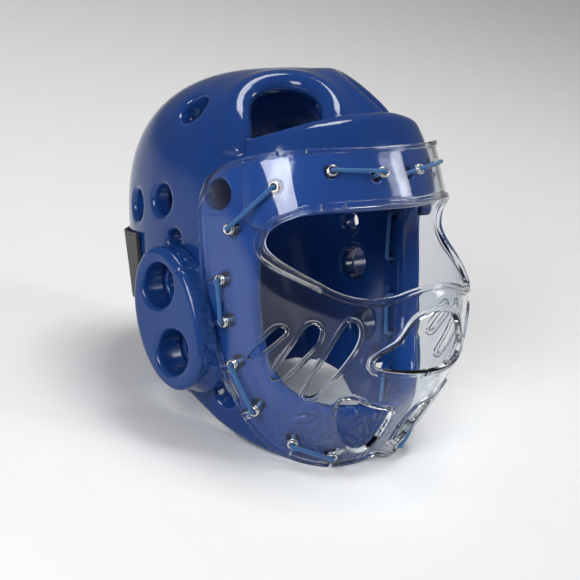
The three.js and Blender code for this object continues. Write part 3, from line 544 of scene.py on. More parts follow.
# Forehead band. A second strip of the same foam over the brow, full in the middle and fading into the
# shell at both temples. It closes the foot of each arch. Its lettered face is left plain.
BAND_THICK, BAND_THIN, BAND_TURN, BAND_FALL = 12.0, 1.6, 61.0, 2.5
BAND_SINK, BAND_SINK_FROM, BAND_FOOT = 3.2, 0.86, 2.5
BAND_LEAST_SOFT, BAND_MOST_SOFT = 0.8, 5.5
# turn, height: upper edge, then lower edge of the right half
BAND_OUTLINE = np.array([
    [0, 124], [14, 123.4], [30, 119.5], [45, 114], [56, 109.5], [61, 106], [61.5, 80], [60, 56],
    [50.5, 47], [45, 54], [34, 57.4], [19, 58], [0, 58]], float)
band_loop = smooth_loop(both_sides(BAND_OUTLINE), SMOOTH) * [DEGREE, 1]
band_chart = distance_chart(band_loop, (-130, 20), (130, 150), 0.8)


def band_field(p):
    """Distance outside the band: between the shell's skin and a face that stands off by the band's
    thickness and sinks into the skin at both temples, within its outline, its edges rounded by as
    much as the thickness allows."""
    out = outside_skin(p)
    turn = turn_of(p)
    share = np.clip(np.abs(turn) / BAND_TURN, 0, 1)
    thick = BAND_THIN + (BAND_THICK - BAND_THIN) * (1 - share ** BAND_FALL)
    thick = thick - BAND_SINK * np.clip((share - BAND_SINK_FROM) / (1 - BAND_SINK_FROM), 0, 1) ** 2
    rounding = np.clip(thick / 2, BAND_LEAST_SOFT, BAND_MOST_SOFT)
    outline = np.where(p[:, 1] < 20, read_chart(band_chart, turn * DEGREE, p[:, 2]), 99.0)
    d = carve(out - thick, -outline, rounding)
    return less_lace_holes(np.maximum(d, -BAND_FOOT - out), p)


band_points, band_quads = skin_over(band_field, (-100, -122, 40), (100, -20, 130), 1.5)
band = new_piece("forehead_band_dipped", band_points, [band_quads], shell_vinyl, ["forehead_band"])

# Ear pads. Thick oval foam pads with two through holes, dipped with the shell. The skin is creased
# along the front wall and across the upper hole, and the shield's edge presses into the front wall.
PAD_FACE, PAD_MIDDLE, PAD_TILT = 114.0, (2.0, -13.0), math.radians(16)
PAD_HALF, PAD_EDGE, PAD_HOLE_RADIUS, PAD_HOLE_HALF_SPACING = (32.0, 50.5), 5.0, 15.5, 23.5
PAD_HOLE_SOFT, PAD_DENT_SOFT, PAD_DENT_GAP, PAD_FOOT = 3.4, 1.0, 0.7, 0.5
PAD_FLARE, PAD_FLARE_FROM, PAD_FLARE_LENGTH = 3.6, 105.0, 14.0
# turn round the pad and half width in radians, depth: folds of the wall, and where they are deepest
PAD_FOLDS = [(2.55, 0.05, 0.9), (-2.9, 0.045, 1.1), (-2.55, 0.06, 0.8), (2.9, 0.07, 0.7)]
PAD_FOLD_MIDDLE, PAD_FOLD_REACH = 103.0, 7.0
# one crease runs across the face above the upper hole: its height, slope, sway, half width and depth
CREASE_HEIGHT, CREASE_SLOPE, CREASE_SWAY, CREASE_HALF_WIDTH, CREASE_DEPTH = 28.4, 0.05, 1.2, 0.8, 0.9
# shield edge: turn, height of its right half, top middle first
SHIELD_OUTLINE = np.array([
    [0, 102.2], [15, 102.2], [30, 102.2], [44, 102], [59, 99.5], [71, 94.5], [78.8, 87.5], [83.6, 77.5],
    [86.2, 65], [86.8, 54], [86.6, 38], [86.2, 20], [85.5, 0], [84.6, -18], [83, -31], [81.2, -46],
    [78.5, -62], [75.2, -76], [71.5, -88], [66.2, -98], [57.2, -108.3], [43, -115.6], [27.5, -119.3],
    [13, -118.6], [0, -115.5]], float)
SHIELD_REAR_ROWS = slice(4, 22)
shield_loop = smooth_loop(both_sides(SHIELD_OUTLINE), SMOOTH)


def inside_shield(p, gap):
    """Distance outside the space that the shield fills or covers: inside its outer face and in front
    of its rear edge, both grown by a gap."""
    z = p[:, 2]
    half, front = read_table(shield_table, z)
    front = front + SHIELD_BACK
    ratio = np.hypot(p[:, 0] / half, (p[:, 1] - SHIELD_BACK) / front)
    rear = SHIELD_OUTLINE[SHIELD_REAR_ROWS][::-1]
    turn = np.radians(np.interp(z, rear[:, 1], rear[:, 0]))
    edge = SHIELD_BACK - front * np.cos(turn)
    return np.maximum((ratio - 1) * half - gap, p[:, 1] - edge - gap)


def pad_field(side):
    """Distance outside an ear pad: an upright oval, flared where it meets the shell, with a rounded
    face, less its holes and its creases, and what the shield's edge presses in."""
    def field(p):
        x = p[:, 0] * side
        y, z = p[:, 1] - PAD_MIDDLE[0], p[:, 2] - PAD_MIDDLE[1]
        u = y * math.cos(PAD_TILT) - z * math.sin(PAD_TILT)
        v = y * math.sin(PAD_TILT) + z * math.cos(PAD_TILT)
        a, b = PAD_HALF
        near_one, slope = np.hypot(u / a, v / b), np.hypot(u / a ** 2, v / b ** 2)
        oval = near_one * (near_one - 1) / np.maximum(slope, 1e-6)
        flare = PAD_FLARE * np.clip((PAD_FLARE_FROM - x) / PAD_FLARE_LENGTH, 0, 1) ** 2
        around = np.arctan2(v / b, u / a)
        folds = sum(depth * np.exp(-((around - turn) / width) ** 2) for turn, width, depth in PAD_FOLDS)
        wall = oval - flare + folds * np.exp(-((x - PAD_FOLD_MIDDLE) / PAD_FOLD_REACH) ** 2)
        d = carve(wall, PAD_FACE - x, PAD_EDGE)
        for end in (-1, 1):
            hole = np.hypot(u, v - end * PAD_HOLE_HALF_SPACING) - PAD_HOLE_RADIUS
            d = carve(d, hole, PAD_HOLE_SOFT)
        line = v - CREASE_HEIGHT - CREASE_SLOPE * u + CREASE_SWAY * np.sin(u * 0.35)
        beside = (x > 108) * np.clip((-u - 14.5) / 2, 0, 1)
        d = d + CREASE_DEPTH * beside * np.exp(-(line / CREASE_HALF_WIDTH) ** 2)
        d = carve(d, inside_shield(p, PAD_DENT_GAP), PAD_DENT_SOFT)
        return np.maximum(d, PAD_FOOT - outside_skin(p))
    return field


pad_vinyl = dipped_vinyl("pad_vinyl", (0.006, 0.033, 0.155), (0.011, 0.055, 0.225), 0.17, 0.45)
for side, name in ((-1, "right"), (1, "left")):
    reach = sorted((side * 70, side * 118))
    points, quads = skin_over(pad_field(side), (reach[0], -42, -72), (reach[1], 46, 46), 1.3)
    out = points[:, 0] * side
    forward = PAD_MIDDLE[0] - 10 - points[:, 1] + 0.25 * (points[:, 2] - PAD_MIDDLE[1])
    creased = np.clip((PAD_FACE - 3 - out) / 5, 0, 1) * np.clip(forward / 10, 0, 1)
    pad = new_piece("ear_pad_dipped_" + name, points, [quads], pad_vinyl, ["ear_pad_" + name],
                    crease=0.5 * creased)

# Face shield. One clear moulded sheet that wraps from ear to ear, with a thick bead round its edge and
# a raised collar round every opening. It is punched for the eyelets, which the laces hold.
# turn, height: right halves of the middle openings, and the right ones of each pair
EYE_OPENING = np.array([
    [0, 62.2], [12, 62.7], [24, 62.5], [36, 61.8], [45, 59], [53, 54], [58, 49], [60.7, 42], [60.4, 36],
    [57.6, 30], [54, 25], [50, 20], [45, 14], [41, 9], [36, 5], [31, 2.9], [26, 2.6], [20, 3.9], [14, 6.8],
    [6.6, 9.3], [0, 9.9]], float)
MOUTH_OPENING = np.array([
    [0, -9.5], [5, -11], [10.2, -13.5], [13.2, -18], [15.5, -24], [18, -29.5], [21.5, -33.5], [24.5, -36.8],
    [26.4, -40.5], [25.8, -44], [22.5, -46.5], [17, -48.2], [8, -50], [0, -50.5]], float)
CHIN_OPENING = np.array([
    [34.8, -74.5], [35.2, -70.5], [34.2, -67.6], [31.5, -67], [27, -69.5], [22.2, -73], [16, -75.8],
    [11.2, -77.5], [8.2, -79.5], [7.2, -84], [6.6, -91], [6.6, -98.5], [7.6, -104], [9.6, -107.3],
    [13, -108.8], [17, -108], [21.5, -105.2], [25.5, -101.5], [28.8, -96], [31.6, -89.5], [33.8, -82]], float)
CHEEK_SLOTS = [
    np.array([[49.5, -62.5], [47.5, -52], [44.2, -38], [41, -25.5], [38.6, -17], [37, -13.2], [35, -13],
              [33.6, -16.5], [33.3, -22], [34.5, -30.5], [38, -42.5], [41.5, -53], [44, -60.5], [45.8, -64],
              [48, -65]], float),
    np.array([[62.2, -50.5], [59.5, -42], [56.5, -33], [53.3, -23], [51.2, -17], [49.6, -14.4], [47.7, -14.3],
              [46.5, -17], [46.6, -21.5], [48, -27.5], [52.5, -38], [55.5, -45], [57.8, -50], [59.6, -52.6],
              [61.5, -52.6]], float),
    np.array([[70.5, -37.2], [68.3, -31.5], [65.3, -25.5], [62.5, -19.8], [60.6, -17], [58.9, -16.5],
              [57.8, -18.4], [58.8, -21.5], [61.5, -26.3], [64.5, -31.5], [67, -36.2], [69, -38.3],
              [70.2, -38.3]], float)]
EYELET_HOLE, PUNCH_MARGIN = 2.85, 0.3
EDGE_COLLAR, EYE_COLLAR, MOUTH_COLLAR, CHIN_COLLAR, SLOT_COLLAR = 3.7, 4.8, 4.2, 3.4, 3.4
# the eye opening's collar widens to its outer corners: width there, turns and heights between
CORNER_COLLAR, CORNER_FROM, CORNER_TO, CORNER_TOP, CORNER_FULL = 8.6, 43.0, 59.0, 54.0, 40.0
rims = [(shield_loop, EDGE_COLLAR), (smooth_loop(both_sides(EYE_OPENING), SMOOTH), EYE_COLLAR),
        (smooth_loop(both_sides(MOUTH_OPENING), SMOOTH), MOUTH_COLLAR)]
for outline, width in [(CHIN_OPENING, CHIN_COLLAR)] + [(slot, SLOT_COLLAR) for slot in CHEEK_SLOTS]:
    rims += [(smooth_loop(outline, SMOOTH), width), (smooth_loop(outline * [-1, 1], SMOOTH), width)]
ring = np.linspace(0, 2 * np.pi, 24, endpoint=False)
for side in (-1, 1):
    for turn, z in EYELETS * [side, 1]:
        here, ahead = shield_point(math.radians(turn), z), shield_point(math.radians(turn + 1), z)
        reach = EYELET_HOLE / np.linalg.norm(ahead - here)
        hole = np.stack([turn + reach * np.cos(ring), z + EYELET_HOLE * np.sin(ring)], 1)
        rims.append((hole, PUNCH_MARGIN))
rim_from = np.vstack([loop for loop, _ in rims])
rim_to = np.vstack([np.roll(loop, -1, axis=0) for loop, _ in rims])
rim_width = np.concatenate([np.full(len(loop), width) for loop, width in rims])
corner = np.clip((np.abs(rim_from[:, 0]) - CORNER_FROM) / (CORNER_TO - CORNER_FROM), 0, 1)
corner *= np.clip((CORNER_TOP - rim_from[:, 1]) / (CORNER_TOP - CORNER_FULL), 0, 1)
corner *= rim_width == EYE_COLLAR
rim_width += (CORNER_COLLAR - EYE_COLLAR) * corner
rim_from_3d = shield_point(np.radians(rim_from[:, 0]), rim_from[:, 1])
rim_to_3d = shield_point(np.radians(rim_to[:, 0]), rim_to[:, 1])


def nearest_rim(chart):
    """For points of the shield's chart: the distance in space to the nearest rim as a share of that
    rim's collar, negative off the sheet by the even-odd rule, the nearest point of the rim, and the
    collar's width."""
    here = shield_point(np.radians(chart[:, 0]), chart[:, 1])
    best, foot = np.full(len(chart), 1e9), np.zeros_like(chart)
    wide, odd, row = np.ones(len(chart)), np.zeros(len(chart), bool), np.arange(len(chart))
    for k in range(0, len(rim_from), 40):
        a, b, a3, b3 = (one[k:k + 40] for one in (rim_from, rim_to, rim_from_3d, rim_to_3d))
        edge = b3 - a3
        along = np.einsum("nk,mk->nm", here, edge) - (a3 * edge).sum(1)
        t = np.clip(along / np.maximum((edge ** 2).sum(1), 1e-12), 0, 1)
        off = here[:, None] - a3 - t[..., None] * edge
        share = np.sqrt((off ** 2).sum(2)) / rim_width[k:k + 40]
        j = share.argmin(1)
        closer = share[row, j] < best
        best = np.where(closer, share[row, j], best)
        foot = np.where(closer[:, None], a[j] + t[row, j][:, None] * (b - a)[j], foot)
        wide = np.where(closer, rim_width[k:k + 40][j], wide)
        crosses = (a[:, 1] > chart[:, 1:]) != (b[:, 1] > chart[:, 1:])
        rise = np.where(b[:, 1] == a[:, 1], 1, b[:, 1] - a[:, 1])
        at = a[:, 0] + (chart[:, 1:] - a[:, 1]) * (b[:, 0] - a[:, 0]) / rise
        odd ^= (np.sum(crosses & (chart[:, :1] < at), axis=1) % 2).astype(bool)
    return np.where(odd, best, -best), foot, wide


# share of the collar from the rim, height over the face: outer face, round the rim, inner face
COLLAR_PROFILE = np.array([
    [1.0, 0.0], [0.97, 0.08], [0.94, 0.5], [0.91, 1.1], [0.86, 1.6], [0.78, 1.85], [0.68, 1.8], [0.56, 1.5],
    [0.44, 1.5], [0.33, 1.8], [0.22, 1.9], [0.12, 1.7], [0.05, 1.2], [0.01, 0.5], [0.0, -0.6], [0.0, -1.7],
    [0.04, -2.3], [0.12, -2.6], [0.5, -2.6], [1.0, -2.6]])
columns, rows = np.linspace(-89.5, 89.5, 255), np.linspace(-122, 105, 190)
SNAP, SLIVER_MARGIN, BEND_MARGIN, COLLAR_SHRINK = 0.82, 0.1, -0.12, 0.6
chart = np.stack(np.meshgrid(columns, rows, indexing="ij"), -1).reshape(-1, 2)
share, foot, wide = nearest_rim(chart)
margin = (share - 1) * wide
near = (np.abs(margin) < SNAP) & (share > 0)
chart[near] = foot[near] + (chart[near] - foot[near]) / share[near][:, None]
keep = near | (margin > 0)


def grid_quads(rows, columns, rows_close=False, columns_close=False):
    """Quads of a grid of points kept row by row, whose rows or columns may run round to the first."""
    number = np.arange(rows * columns).reshape(rows, columns)
    number = np.vstack([number, number[:1]]) if rows_close else number
    number = np.hstack([number, number[:, :1]]) if columns_close else number
    return np.stack([number[:-1, :-1], number[1:, :-1], number[1:, 1:], number[:-1, 1:]], -1).reshape(-1, 4)


TURNED_OVER = [0, 3, 2, 1]
cell = grid_quads(len(columns), len(rows))
kept = keep[cell]
quads = cell[kept.all(1)]
three = cell[kept.sum(1) == 3]
triangles = np.take_along_axis(three, (np.argmin(keep[three], axis=1)[:, None] + np.array([1, 2, 3])) % 4, 1)


def on_sheet(faces):
    """Faces whose middle lies on the sheet side of the collars' outer line. A face with all its corners
    on that line is a sliver along it, or lies across a bend, unless its middle is well inside."""
    share, _, wide = nearest_rim(chart[faces].mean(1))
    return faces[(share - 1) * wide > np.where(near[faces].all(1), SLIVER_MARGIN, BEND_MARGIN)]


quads, triangles = on_sheet(quads), on_sheet(triangles)
edges = np.vstack([np.stack([f[:, k], f[:, (k + 1) % f.shape[1]]], 1)
                   for f in (quads, triangles) for k in range(f.shape[1])])
_, first, count = np.unique(edges.min(1) * len(chart) + edges.max(1), return_index=True, return_counts=True)
border = edges[first[count == 1]]
border_points = np.unique(border)
border_edges = np.searchsorted(border_points, border)
border_chart = chart[border_points]
_, foot, wide = nearest_rim(border_chart)
# Narrow collars stand less high, and the punched holes have none.
rolled_rim = wide > PUNCH_MARGIN
height_share = np.where(rolled_rim, np.minimum(wide / EYE_COLLAR, 1) ** COLLAR_SHRINK, 0.0)
layers = []
for share, height in COLLAR_PROFILE[1:]:
    ring_chart = foot + (border_chart - foot) * share
    lift = np.where(rolled_rim, height * np.where(height > 0, height_share, 1), min(height, 0.0))
    turn, z = np.radians(ring_chart[:, 0]), ring_chart[:, 1]
    layers.append(shield_point(turn, z) + lift[:, None] * shield_normal(turn, z))
used = np.unique(np.concatenate([quads.ravel(), triangles.ravel()]))
order = np.full(len(chart), -1)
order[used] = np.arange(len(used))
turn = np.radians(chart[used, 0])
outer = shield_point(turn, chart[used, 1])
inner = outer - SHIELD_SHEET * shield_normal(turn, chart[used, 1])
shield_points = np.vstack([outer, inner] + layers[:-1])
count = len(border_points)
lip = [2 * len(used) + k * count + np.arange(count) for k in range(len(layers) - 1)]
levels = [order[border_points]] + lip + [len(used) + order[border_points]]
start, end = border_edges.T
strips = [np.stack([a[end], a[start], b[start], b[end]], 1) for a, b in zip(levels[:-1], levels[1:])]
shield_quads = np.vstack([order[quads], len(used) + order[quads][:, ::-1]] + strips)
shield_triangles = np.vstack([order[triangles], len(used) + order[triangles][:, ::-1]])

clear_sheet, tree, glass = new_material("clear_sheet")
place = object_place(tree)
haze = noise(tree, place, Scale=60.0, Detail=4.0, Roughness=0.6)
flow = noise(tree, place, Scale=18.0, Detail=1.0)
feed(tree, glass, {
    "Base Color": (0.88, 0.915, 0.945, 1), "Metallic": 0.0, "Transmission Weight": 1.0, "IOR": 1.34,
    "Roughness": in_range(tree, haze, 0.0, 0.03, 0.45, 0.8), "Normal": bump(tree, flow, 0.12, 0.001)})
# Light passes straight on to what lies behind the sheet, so that the foam there isn't in its shadow.
light_path = add_node(tree, "ShaderNodeLightPath", {})
let_through = add_node(tree, "ShaderNodeBsdfTransparent", {"Color": (0.9, 0.92, 0.93, 1)})
either = add_node(tree, "ShaderNodeMixShader", {
    0: light_path.outputs["Is Shadow Ray"], 1: glass.outputs["BSDF"], 2: let_through.outputs["BSDF"]})
feed(tree, tree.nodes["Material Output"], {"Surface": either.outputs["Shader"]})
new_piece("face_shield_moulded", shield_points, [shield_quads, shield_triangles], clear_sheet,
          ["face_shield"])

# Eyelets. Nickel-plated brass rings pressed through the sheet and rolled over on both faces, with a
# bore of 4.4 mm for the lace.
# radius, height from the middle of the sheet, round the metal from the bore's outer end
EYELET_PROFILE = np.array([
    [2.2, 1.2], [2.35, 1.75], [2.75, 2.1], [3.25, 2.05], [3.65, 1.75], [3.8, 1.42], [3.3, 1.4], [2.75, 1.4],
    [2.75, 0.0], [2.75, -1.4], [3.3, -1.4], [3.8, -1.42], [3.65, -1.75], [3.2, -1.95], [2.6, -1.85],
    [2.2, -1.2]])
EYELET_STEPS = 28


def around(at, way, profile, steps):
    """Profile of radii and heights turned about an axis: a closed ring of quads."""
    side = np.cross(way, [0.0, 0.0, 1.0])
    side /= np.linalg.norm(side)
    other = np.cross(way, side)
    a = np.linspace(0, 2 * np.pi, steps, endpoint=False)[:, None, None]
    r, h = profile[None, :, 0:1], profile[None, :, 1:2]
    points = at + r * (np.cos(a) * side + np.sin(a) * other) + h * way
    return points.reshape(-1, 3), grid_quads(steps, len(profile), True, True)[:, TURNED_OVER]


def joined(shells):
    """Points and quads of several closed shells as one list of each."""
    starts = np.cumsum([0] + [len(points) for points, _ in shells[:-1]])
    return (np.vstack([points for points, _ in shells]),
            np.vstack([quads + start for (_, quads), start in zip(shells, starts)]))


nickel, tree, metal = new_material("eyelet_nickel")
worn = noise(tree, object_place(tree), Scale=500.0, Detail=4.0, Roughness=0.65)
feed(tree, metal, {
    "Base Color": colour_between(tree, worn, (0.62, 0.60, 0.56, 1), (0.86, 0.86, 0.84, 1)),
    "Roughness": in_range(tree, worn, 0.14, 0.36), "Metallic": 1.0})
for side, name in ((-1, "right"), (1, "left")):
    rings = [around(at, way, EYELET_PROFILE, EYELET_STEPS) for at, way in zip(*eyelet_seats(side))]
    points, quads = joined(rings)
    nodes = [f"eyelet_{name}_{k}" for k in range(1, len(EYELETS) + 1)]
    new_piece("eyelets_" + name, points, [quads], nickel, nodes)

# Laces. One thin braided cord a side, in and out through the eyelets: five stitches show outside, and
# the runs between them lie behind the foam. Each end is stopped by a knot.
LACE_RADIUS, LACE_SIDES, LACE_STEP, LACE_BEND = 1.4, 10, 0.7, 2.4
LACE_BEHIND, LACE_OVER, EYELET_RISE = 1.6, 0.45, 3.2
KNOT_RADIUS, KNOT_SQUASH, KNOT_BULGE = 3.3, 0.85, 0.12
BRAID_TURN, BRAID_STRANDS = 2.6, 4.0


def foam_depth(at, way):
    """How far behind an eyelet a lace must go to clear the inside of the foam."""
    deep = np.arange(8, 70, 0.25)
    line = at - deep[:, None] * way
    return deep[np.argmax(outside_skin(line) < -(FOAM + LACE_RADIUS + LACE_BEHIND))]


def length_along(path):
    """Length of a path from its start to each of its points."""
    return np.concatenate([[0], np.cumsum(np.linalg.norm(np.diff(path, axis=0), axis=1))])


def rounded_path(corners, radius, spacing):
    """Path through corners, each cut off by a quadratic curve that starts and ends a radius away, then
    stepped at an even spacing."""
    pieces = [corners[:1]]
    t = np.linspace(0, 1, 9)[:, None]
    for a, b, c in zip(corners[:-2], corners[1:-1], corners[2:]):
        back, ahead = a - b, c - b
        r = min(radius, 0.45 * np.linalg.norm(back), 0.45 * np.linalg.norm(ahead))
        start, end = b + back / np.linalg.norm(back) * r, b + ahead / np.linalg.norm(ahead) * r
        pieces.append((1 - t) ** 2 * start + 2 * t * (1 - t) * b + t ** 2 * end)
    path = np.vstack(pieces + [corners[-1:]])
    gone = length_along(path)
    at = np.linspace(0, gone[-1], int(gone[-1] / spacing) + 2)
    return np.stack([np.interp(at, gone, path[:, k]) for k in range(3)], 1)


def tube(path, radius, sides):
    """Round cord along a path, closed at both ends, its cross-section carried without twist from an
    upright start, with a map of its length and its girth."""
    ahead = np.gradient(path, axis=0)
    ahead /= np.linalg.norm(ahead, axis=1, keepdims=True)
    across = np.empty_like(path)
    last = np.array([0.3, 0.2, 1.0])
    for k, way in enumerate(ahead):
        last = last - way * (last @ way)
        last = last / np.linalg.norm(last)
        across[k] = last
    other = np.cross(ahead, across)
    a = np.linspace(0, 2 * np.pi, sides, endpoint=False)
    radii = np.full(len(path), radius)
    radii[[0, -1]] = 0.02
    ring = np.cos(a)[:, None] * across[:, None] + np.sin(a)[:, None] * other[:, None]
    points = path[:, None] + radii[:, None, None] * ring
    quads = grid_quads(len(path), sides, columns_close=True)[:, TURNED_OVER]
    uv = np.stack([np.repeat(length_along(path), sides), np.tile(a, len(path))], 1)
    caps = [np.arange(sides)[None, ::-1], (len(path) - 1) * sides + np.arange(sides)[None]]
    return points.reshape(-1, 3), quads, caps, uv


def worked_out(tree, operation, *values):
    """Result of a Math node on numbers and other nodes' outputs."""
    return add_node(tree, "ShaderNodeMath", dict(enumerate(values)), operation=operation).outputs[0]


def along_and_across(tree):
    """The two coordinates of the piece's own map."""
    run = add_node(tree, "ShaderNodeUVMap", {}, uv_map="run").outputs["UV"]
    split = add_node(tree, "ShaderNodeSeparateXYZ", {"Vector": run})
    return run, split.outputs["X"], split.outputs["Y"]


# Strands wind both ways round the cord: sines of its length and its girth, the higher one on top. The colour
# follows the same height: painted shade darkens the grooves between the strands, and the strand crowns are
# painted lighter.
braid, tree, yarn = new_material("lace_braid")
_, along, girth = along_and_across(tree)
round_share = worked_out(tree, "MULTIPLY", girth, BRAID_STRANDS)
strands = [worked_out(tree, "SINE", worked_out(tree, "MULTIPLY_ADD", along, sign * BRAID_TURN, round_share))
           for sign in (-1, 1)]
weave = worked_out(tree, "MAXIMUM", *strands)
# painted shade: the weave's height, as a share from groove to crown, picks a darker blue in the grooves and a
# lighter one on the crowns
groove_shade = in_range(tree, weave, 0.0, 1.0, -1.0, 1.0)
feed(tree, yarn, {
    "Base Color": colour_between(tree, groove_shade, (0.004, 0.045, 0.16, 1), (0.012, 0.15, 0.42, 1)),
    "Normal": bump(tree, weave, 0.8, 0.0003), "Roughness": 0.62, "Sheen Weight": 0.3})

for side, name in ((-1, "right"), (1, "left")):
    middles, ways = eyelet_seats(side)
    turns, heights = np.radians(EYELETS[:, 0]) * side, EYELETS[:, 1]
    behind = np.array([at - foam_depth(at, way) * way for at, way in zip(middles, ways)])
    corners = []
    for k in range(0, len(EYELETS), 2):
        t = np.linspace(0, 1, 9)[1:-1]
        over_turn = turns[k] + (turns[k + 1] - turns[k]) * t
        over_z = heights[k] + (heights[k + 1] - heights[k]) * t
        over = shield_point(over_turn, over_z) + (LACE_RADIUS + LACE_OVER) * shield_normal(over_turn, over_z)
        first, second = (middles[m] + (SHIELD_SHEET / 2 + EYELET_RISE) * ways[m] for m in (k, k + 1))
        corners += [behind[k], first, *over, second, behind[k + 1]]
    path = rounded_path(np.array(corners), LACE_BEND, LACE_STEP)
    cord, cord_quads, caps, cord_uv = tube(path, LACE_RADIUS, LACE_SIDES)
    lat = np.linspace(-np.pi / 2, np.pi / 2, 9)
    bulge = 1 + KNOT_BULGE * np.cos(4 * lat)
    knot = np.stack([KNOT_RADIUS * np.cos(lat) * bulge + 0.02, KNOT_RADIUS * KNOT_SQUASH * np.sin(lat)], 1)
    knots = [around(path[end], ways[-1], knot, 14) for end in (0, -1)]
    points, quads = joined([(cord, cord_quads)] + knots)
    maps = [cord_uv] + [np.stack([ball[:, 2], np.zeros(len(ball))], 1) for ball, _ in knots]
    new_piece("lace_braided_" + name, points, [quads, np.vstack(caps)], braid, ["lace_" + name],
              uv=np.vstack(maps))

# Rear strap. Two halves of black elastic webbing, each glued and stitched to the shell beside the ear
# pad, that lap over the notch and close with hook and loop.
STRAP_LOW, STRAP_HIGH, STRAP_THICK, STRAP_ANCHOR, STRAP_LAP = -6.0, 42.0, 2.6, 122.0, 14.0
STRAP_GAP, UNDER_LIFT, STRAP_REACH = 0.7, 0.3, 105.0
SEAM_INSET, SEAM_HALF_WIDTH, SEAM_BEAT, SEAM_SHARE = 3.2, 0.5, 2.1, -0.5


def strap_face(side, lift, offset):
    """Face of a strap half on a grid: the shell's section half way up carried straight up the strap's
    width, standing off by a rise that grows towards the lap."""
    turn = np.linspace(STRAP_ANCHOR, 180 + STRAP_LAP, 120)
    v = np.linspace(0, 1, 25)
    reached = np.clip((turn - (180 - 2 * STRAP_LAP)) / STRAP_LAP, 0, 1)
    rise = STRAP_GAP + lift * reached ** 2 * (3 - 2 * reached)
    t, vv = np.meshgrid(np.radians(turn), v, indexing="ij")
    z = STRAP_LOW + (STRAP_HIGH - STRAP_LOW) * vv
    s, c = np.abs(np.sin(t[:, 0])), np.abs(np.cos(t[:, 0]))
    ends = []
    for level in (STRAP_LOW, (STRAP_LOW + STRAP_HIGH) / 2, STRAP_HIGH):
        half, front, back = (curve_through(np.array([level]), SHELL_SECTIONS[:, 0], SHELL_SECTIONS[:, k])[0]
                             for k in (1, 2, 3))
        reach = np.where(np.cos(t[:, 0]) > 0, front, back)
        ends.append(((s / half) ** SHELL_SQUARE + (c / reach) ** SHELL_SQUARE) ** (-1 / SHELL_SQUARE))
    straight = ends[0][:, None] * (1 - vv) + ends[2][:, None] * vv
    bulge = np.maximum(ends[1] - (ends[0] + ends[2]) / 2, 0)[:, None]
    r = straight + bulge + rise[:, None] + offset
    return np.stack([side * r * np.sin(t), -r * np.cos(t), z], -1), turn, v


webbing, tree, cloth = new_material("strap_webbing")
run, along, across = along_and_across(tree)
ribs = add_node(tree, "ShaderNodeTexWave", {"Vector": run, "Scale": 0.35, "Distortion": 0.4, "Detail": 2.0},
                wave_type="BANDS", bands_direction="X").outputs["Fac"]
fuzz = noise(tree, run, Scale=1.8, Detail=5.0, Roughness=0.7)
# A row of stitches runs inside each edge: a place across, times a sine along that leaves gaps.
from_middle = worked_out(tree, "ABSOLUTE", worked_out(tree, "SUBTRACT", across, (STRAP_HIGH - STRAP_LOW) / 2))
on_row = worked_out(tree, "COMPARE", from_middle, (STRAP_HIGH - STRAP_LOW) / 2 - SEAM_INSET, SEAM_HALF_WIDTH)
beat = worked_out(tree, "SINE", worked_out(tree, "MULTIPLY", along, SEAM_BEAT))
stitch = worked_out(tree, "MULTIPLY", on_row, worked_out(tree, "GREATER_THAN", beat, SEAM_SHARE))
raised = worked_out(tree, "MULTIPLY_ADD", stitch, 2.0, worked_out(tree, "ADD", ribs, fuzz))
plain_tone = colour_between(tree, fuzz, (0.006, 0.006, 0.007, 1), (0.028, 0.028, 0.03, 1))
feed(tree, cloth, {
    "Base Color": colour_between(tree, stitch, plain_tone, (0.075, 0.075, 0.08, 1)),
    "Normal": bump(tree, raised, 0.7, 0.0005), "Roughness": 0.85, "Sheen Weight": 0.25})

for side, name, lift in ((-1, "right", 2 * STRAP_THICK), (1, "left", UNDER_LIFT)):
    outer, turn, v = strap_face(side, lift, STRAP_THICK)
    inner, _, _ = strap_face(side, lift, 0.0)
    nu, nv = len(turn), len(v)
    grid = np.arange(nu * nv).reshape(nu, nv)
    loop = np.concatenate([grid[:-1, 0], grid[-1, :-1], grid[:0:-1, -1], grid[0, :0:-1]])
    following = np.roll(loop, -1)
    face = grid_quads(nu, nv) if side > 0 else grid_quads(nu, nv)[:, ::-1]
    wall = np.stack([loop, loop + nu * nv, following + nu * nv, following], 1)
    wall = wall if side > 0 else wall[:, ::-1]
    along, across = np.radians(turn) * STRAP_REACH, v * (STRAP_HIGH - STRAP_LOW)
    uv = np.stack(np.meshgrid(along, across, indexing="ij"), -1)
    strap = new_piece("rear_strap_webbing_" + name, np.vstack([outer.reshape(-1, 3), inner.reshape(-1, 3)]),
                      [face, face[:, ::-1] + nu * nv, wall], webbing, ["rear_strap_" + name],
                      uv=np.tile(uv.reshape(-1, 2), (2, 1)))
    bevel = strap.modifiers.new("edges", "BEVEL")
    bevel.width, bevel.segments, bevel.angle_limit = 0.0006, 2, math.radians(50)

# Floor. A plain sheet of pale paper that the headgear stands on, wide enough to fill the picture.
# It is the stage, no piece of the headgear.
FLOOR_REACH = 6.0
floor_mesh = bpy.data.meshes.new("floor")
corners = [(x * FLOOR_REACH, y * FLOOR_REACH, 0) for x, y in ((-1, -1), (1, -1), (1, 1), (-1, 1))]
floor_mesh.from_pydata(corners, [], [(0, 1, 2, 3)])
floor = bpy.data.objects.new("floor", floor_mesh)
bpy.context.scene.collection.objects.link(floor)
paper, tree, matt = new_material("pale_paper")
grain = noise(tree, object_place(tree), Scale=40.0, Detail=3.0)
feed(tree, matt, {
    "Base Color": colour_between(tree, grain, (0.90, 0.90, 0.90, 1), (0.93, 0.93, 0.93, 1)),
    "Roughness": 0.8})
floor_mesh.materials.append(paper)

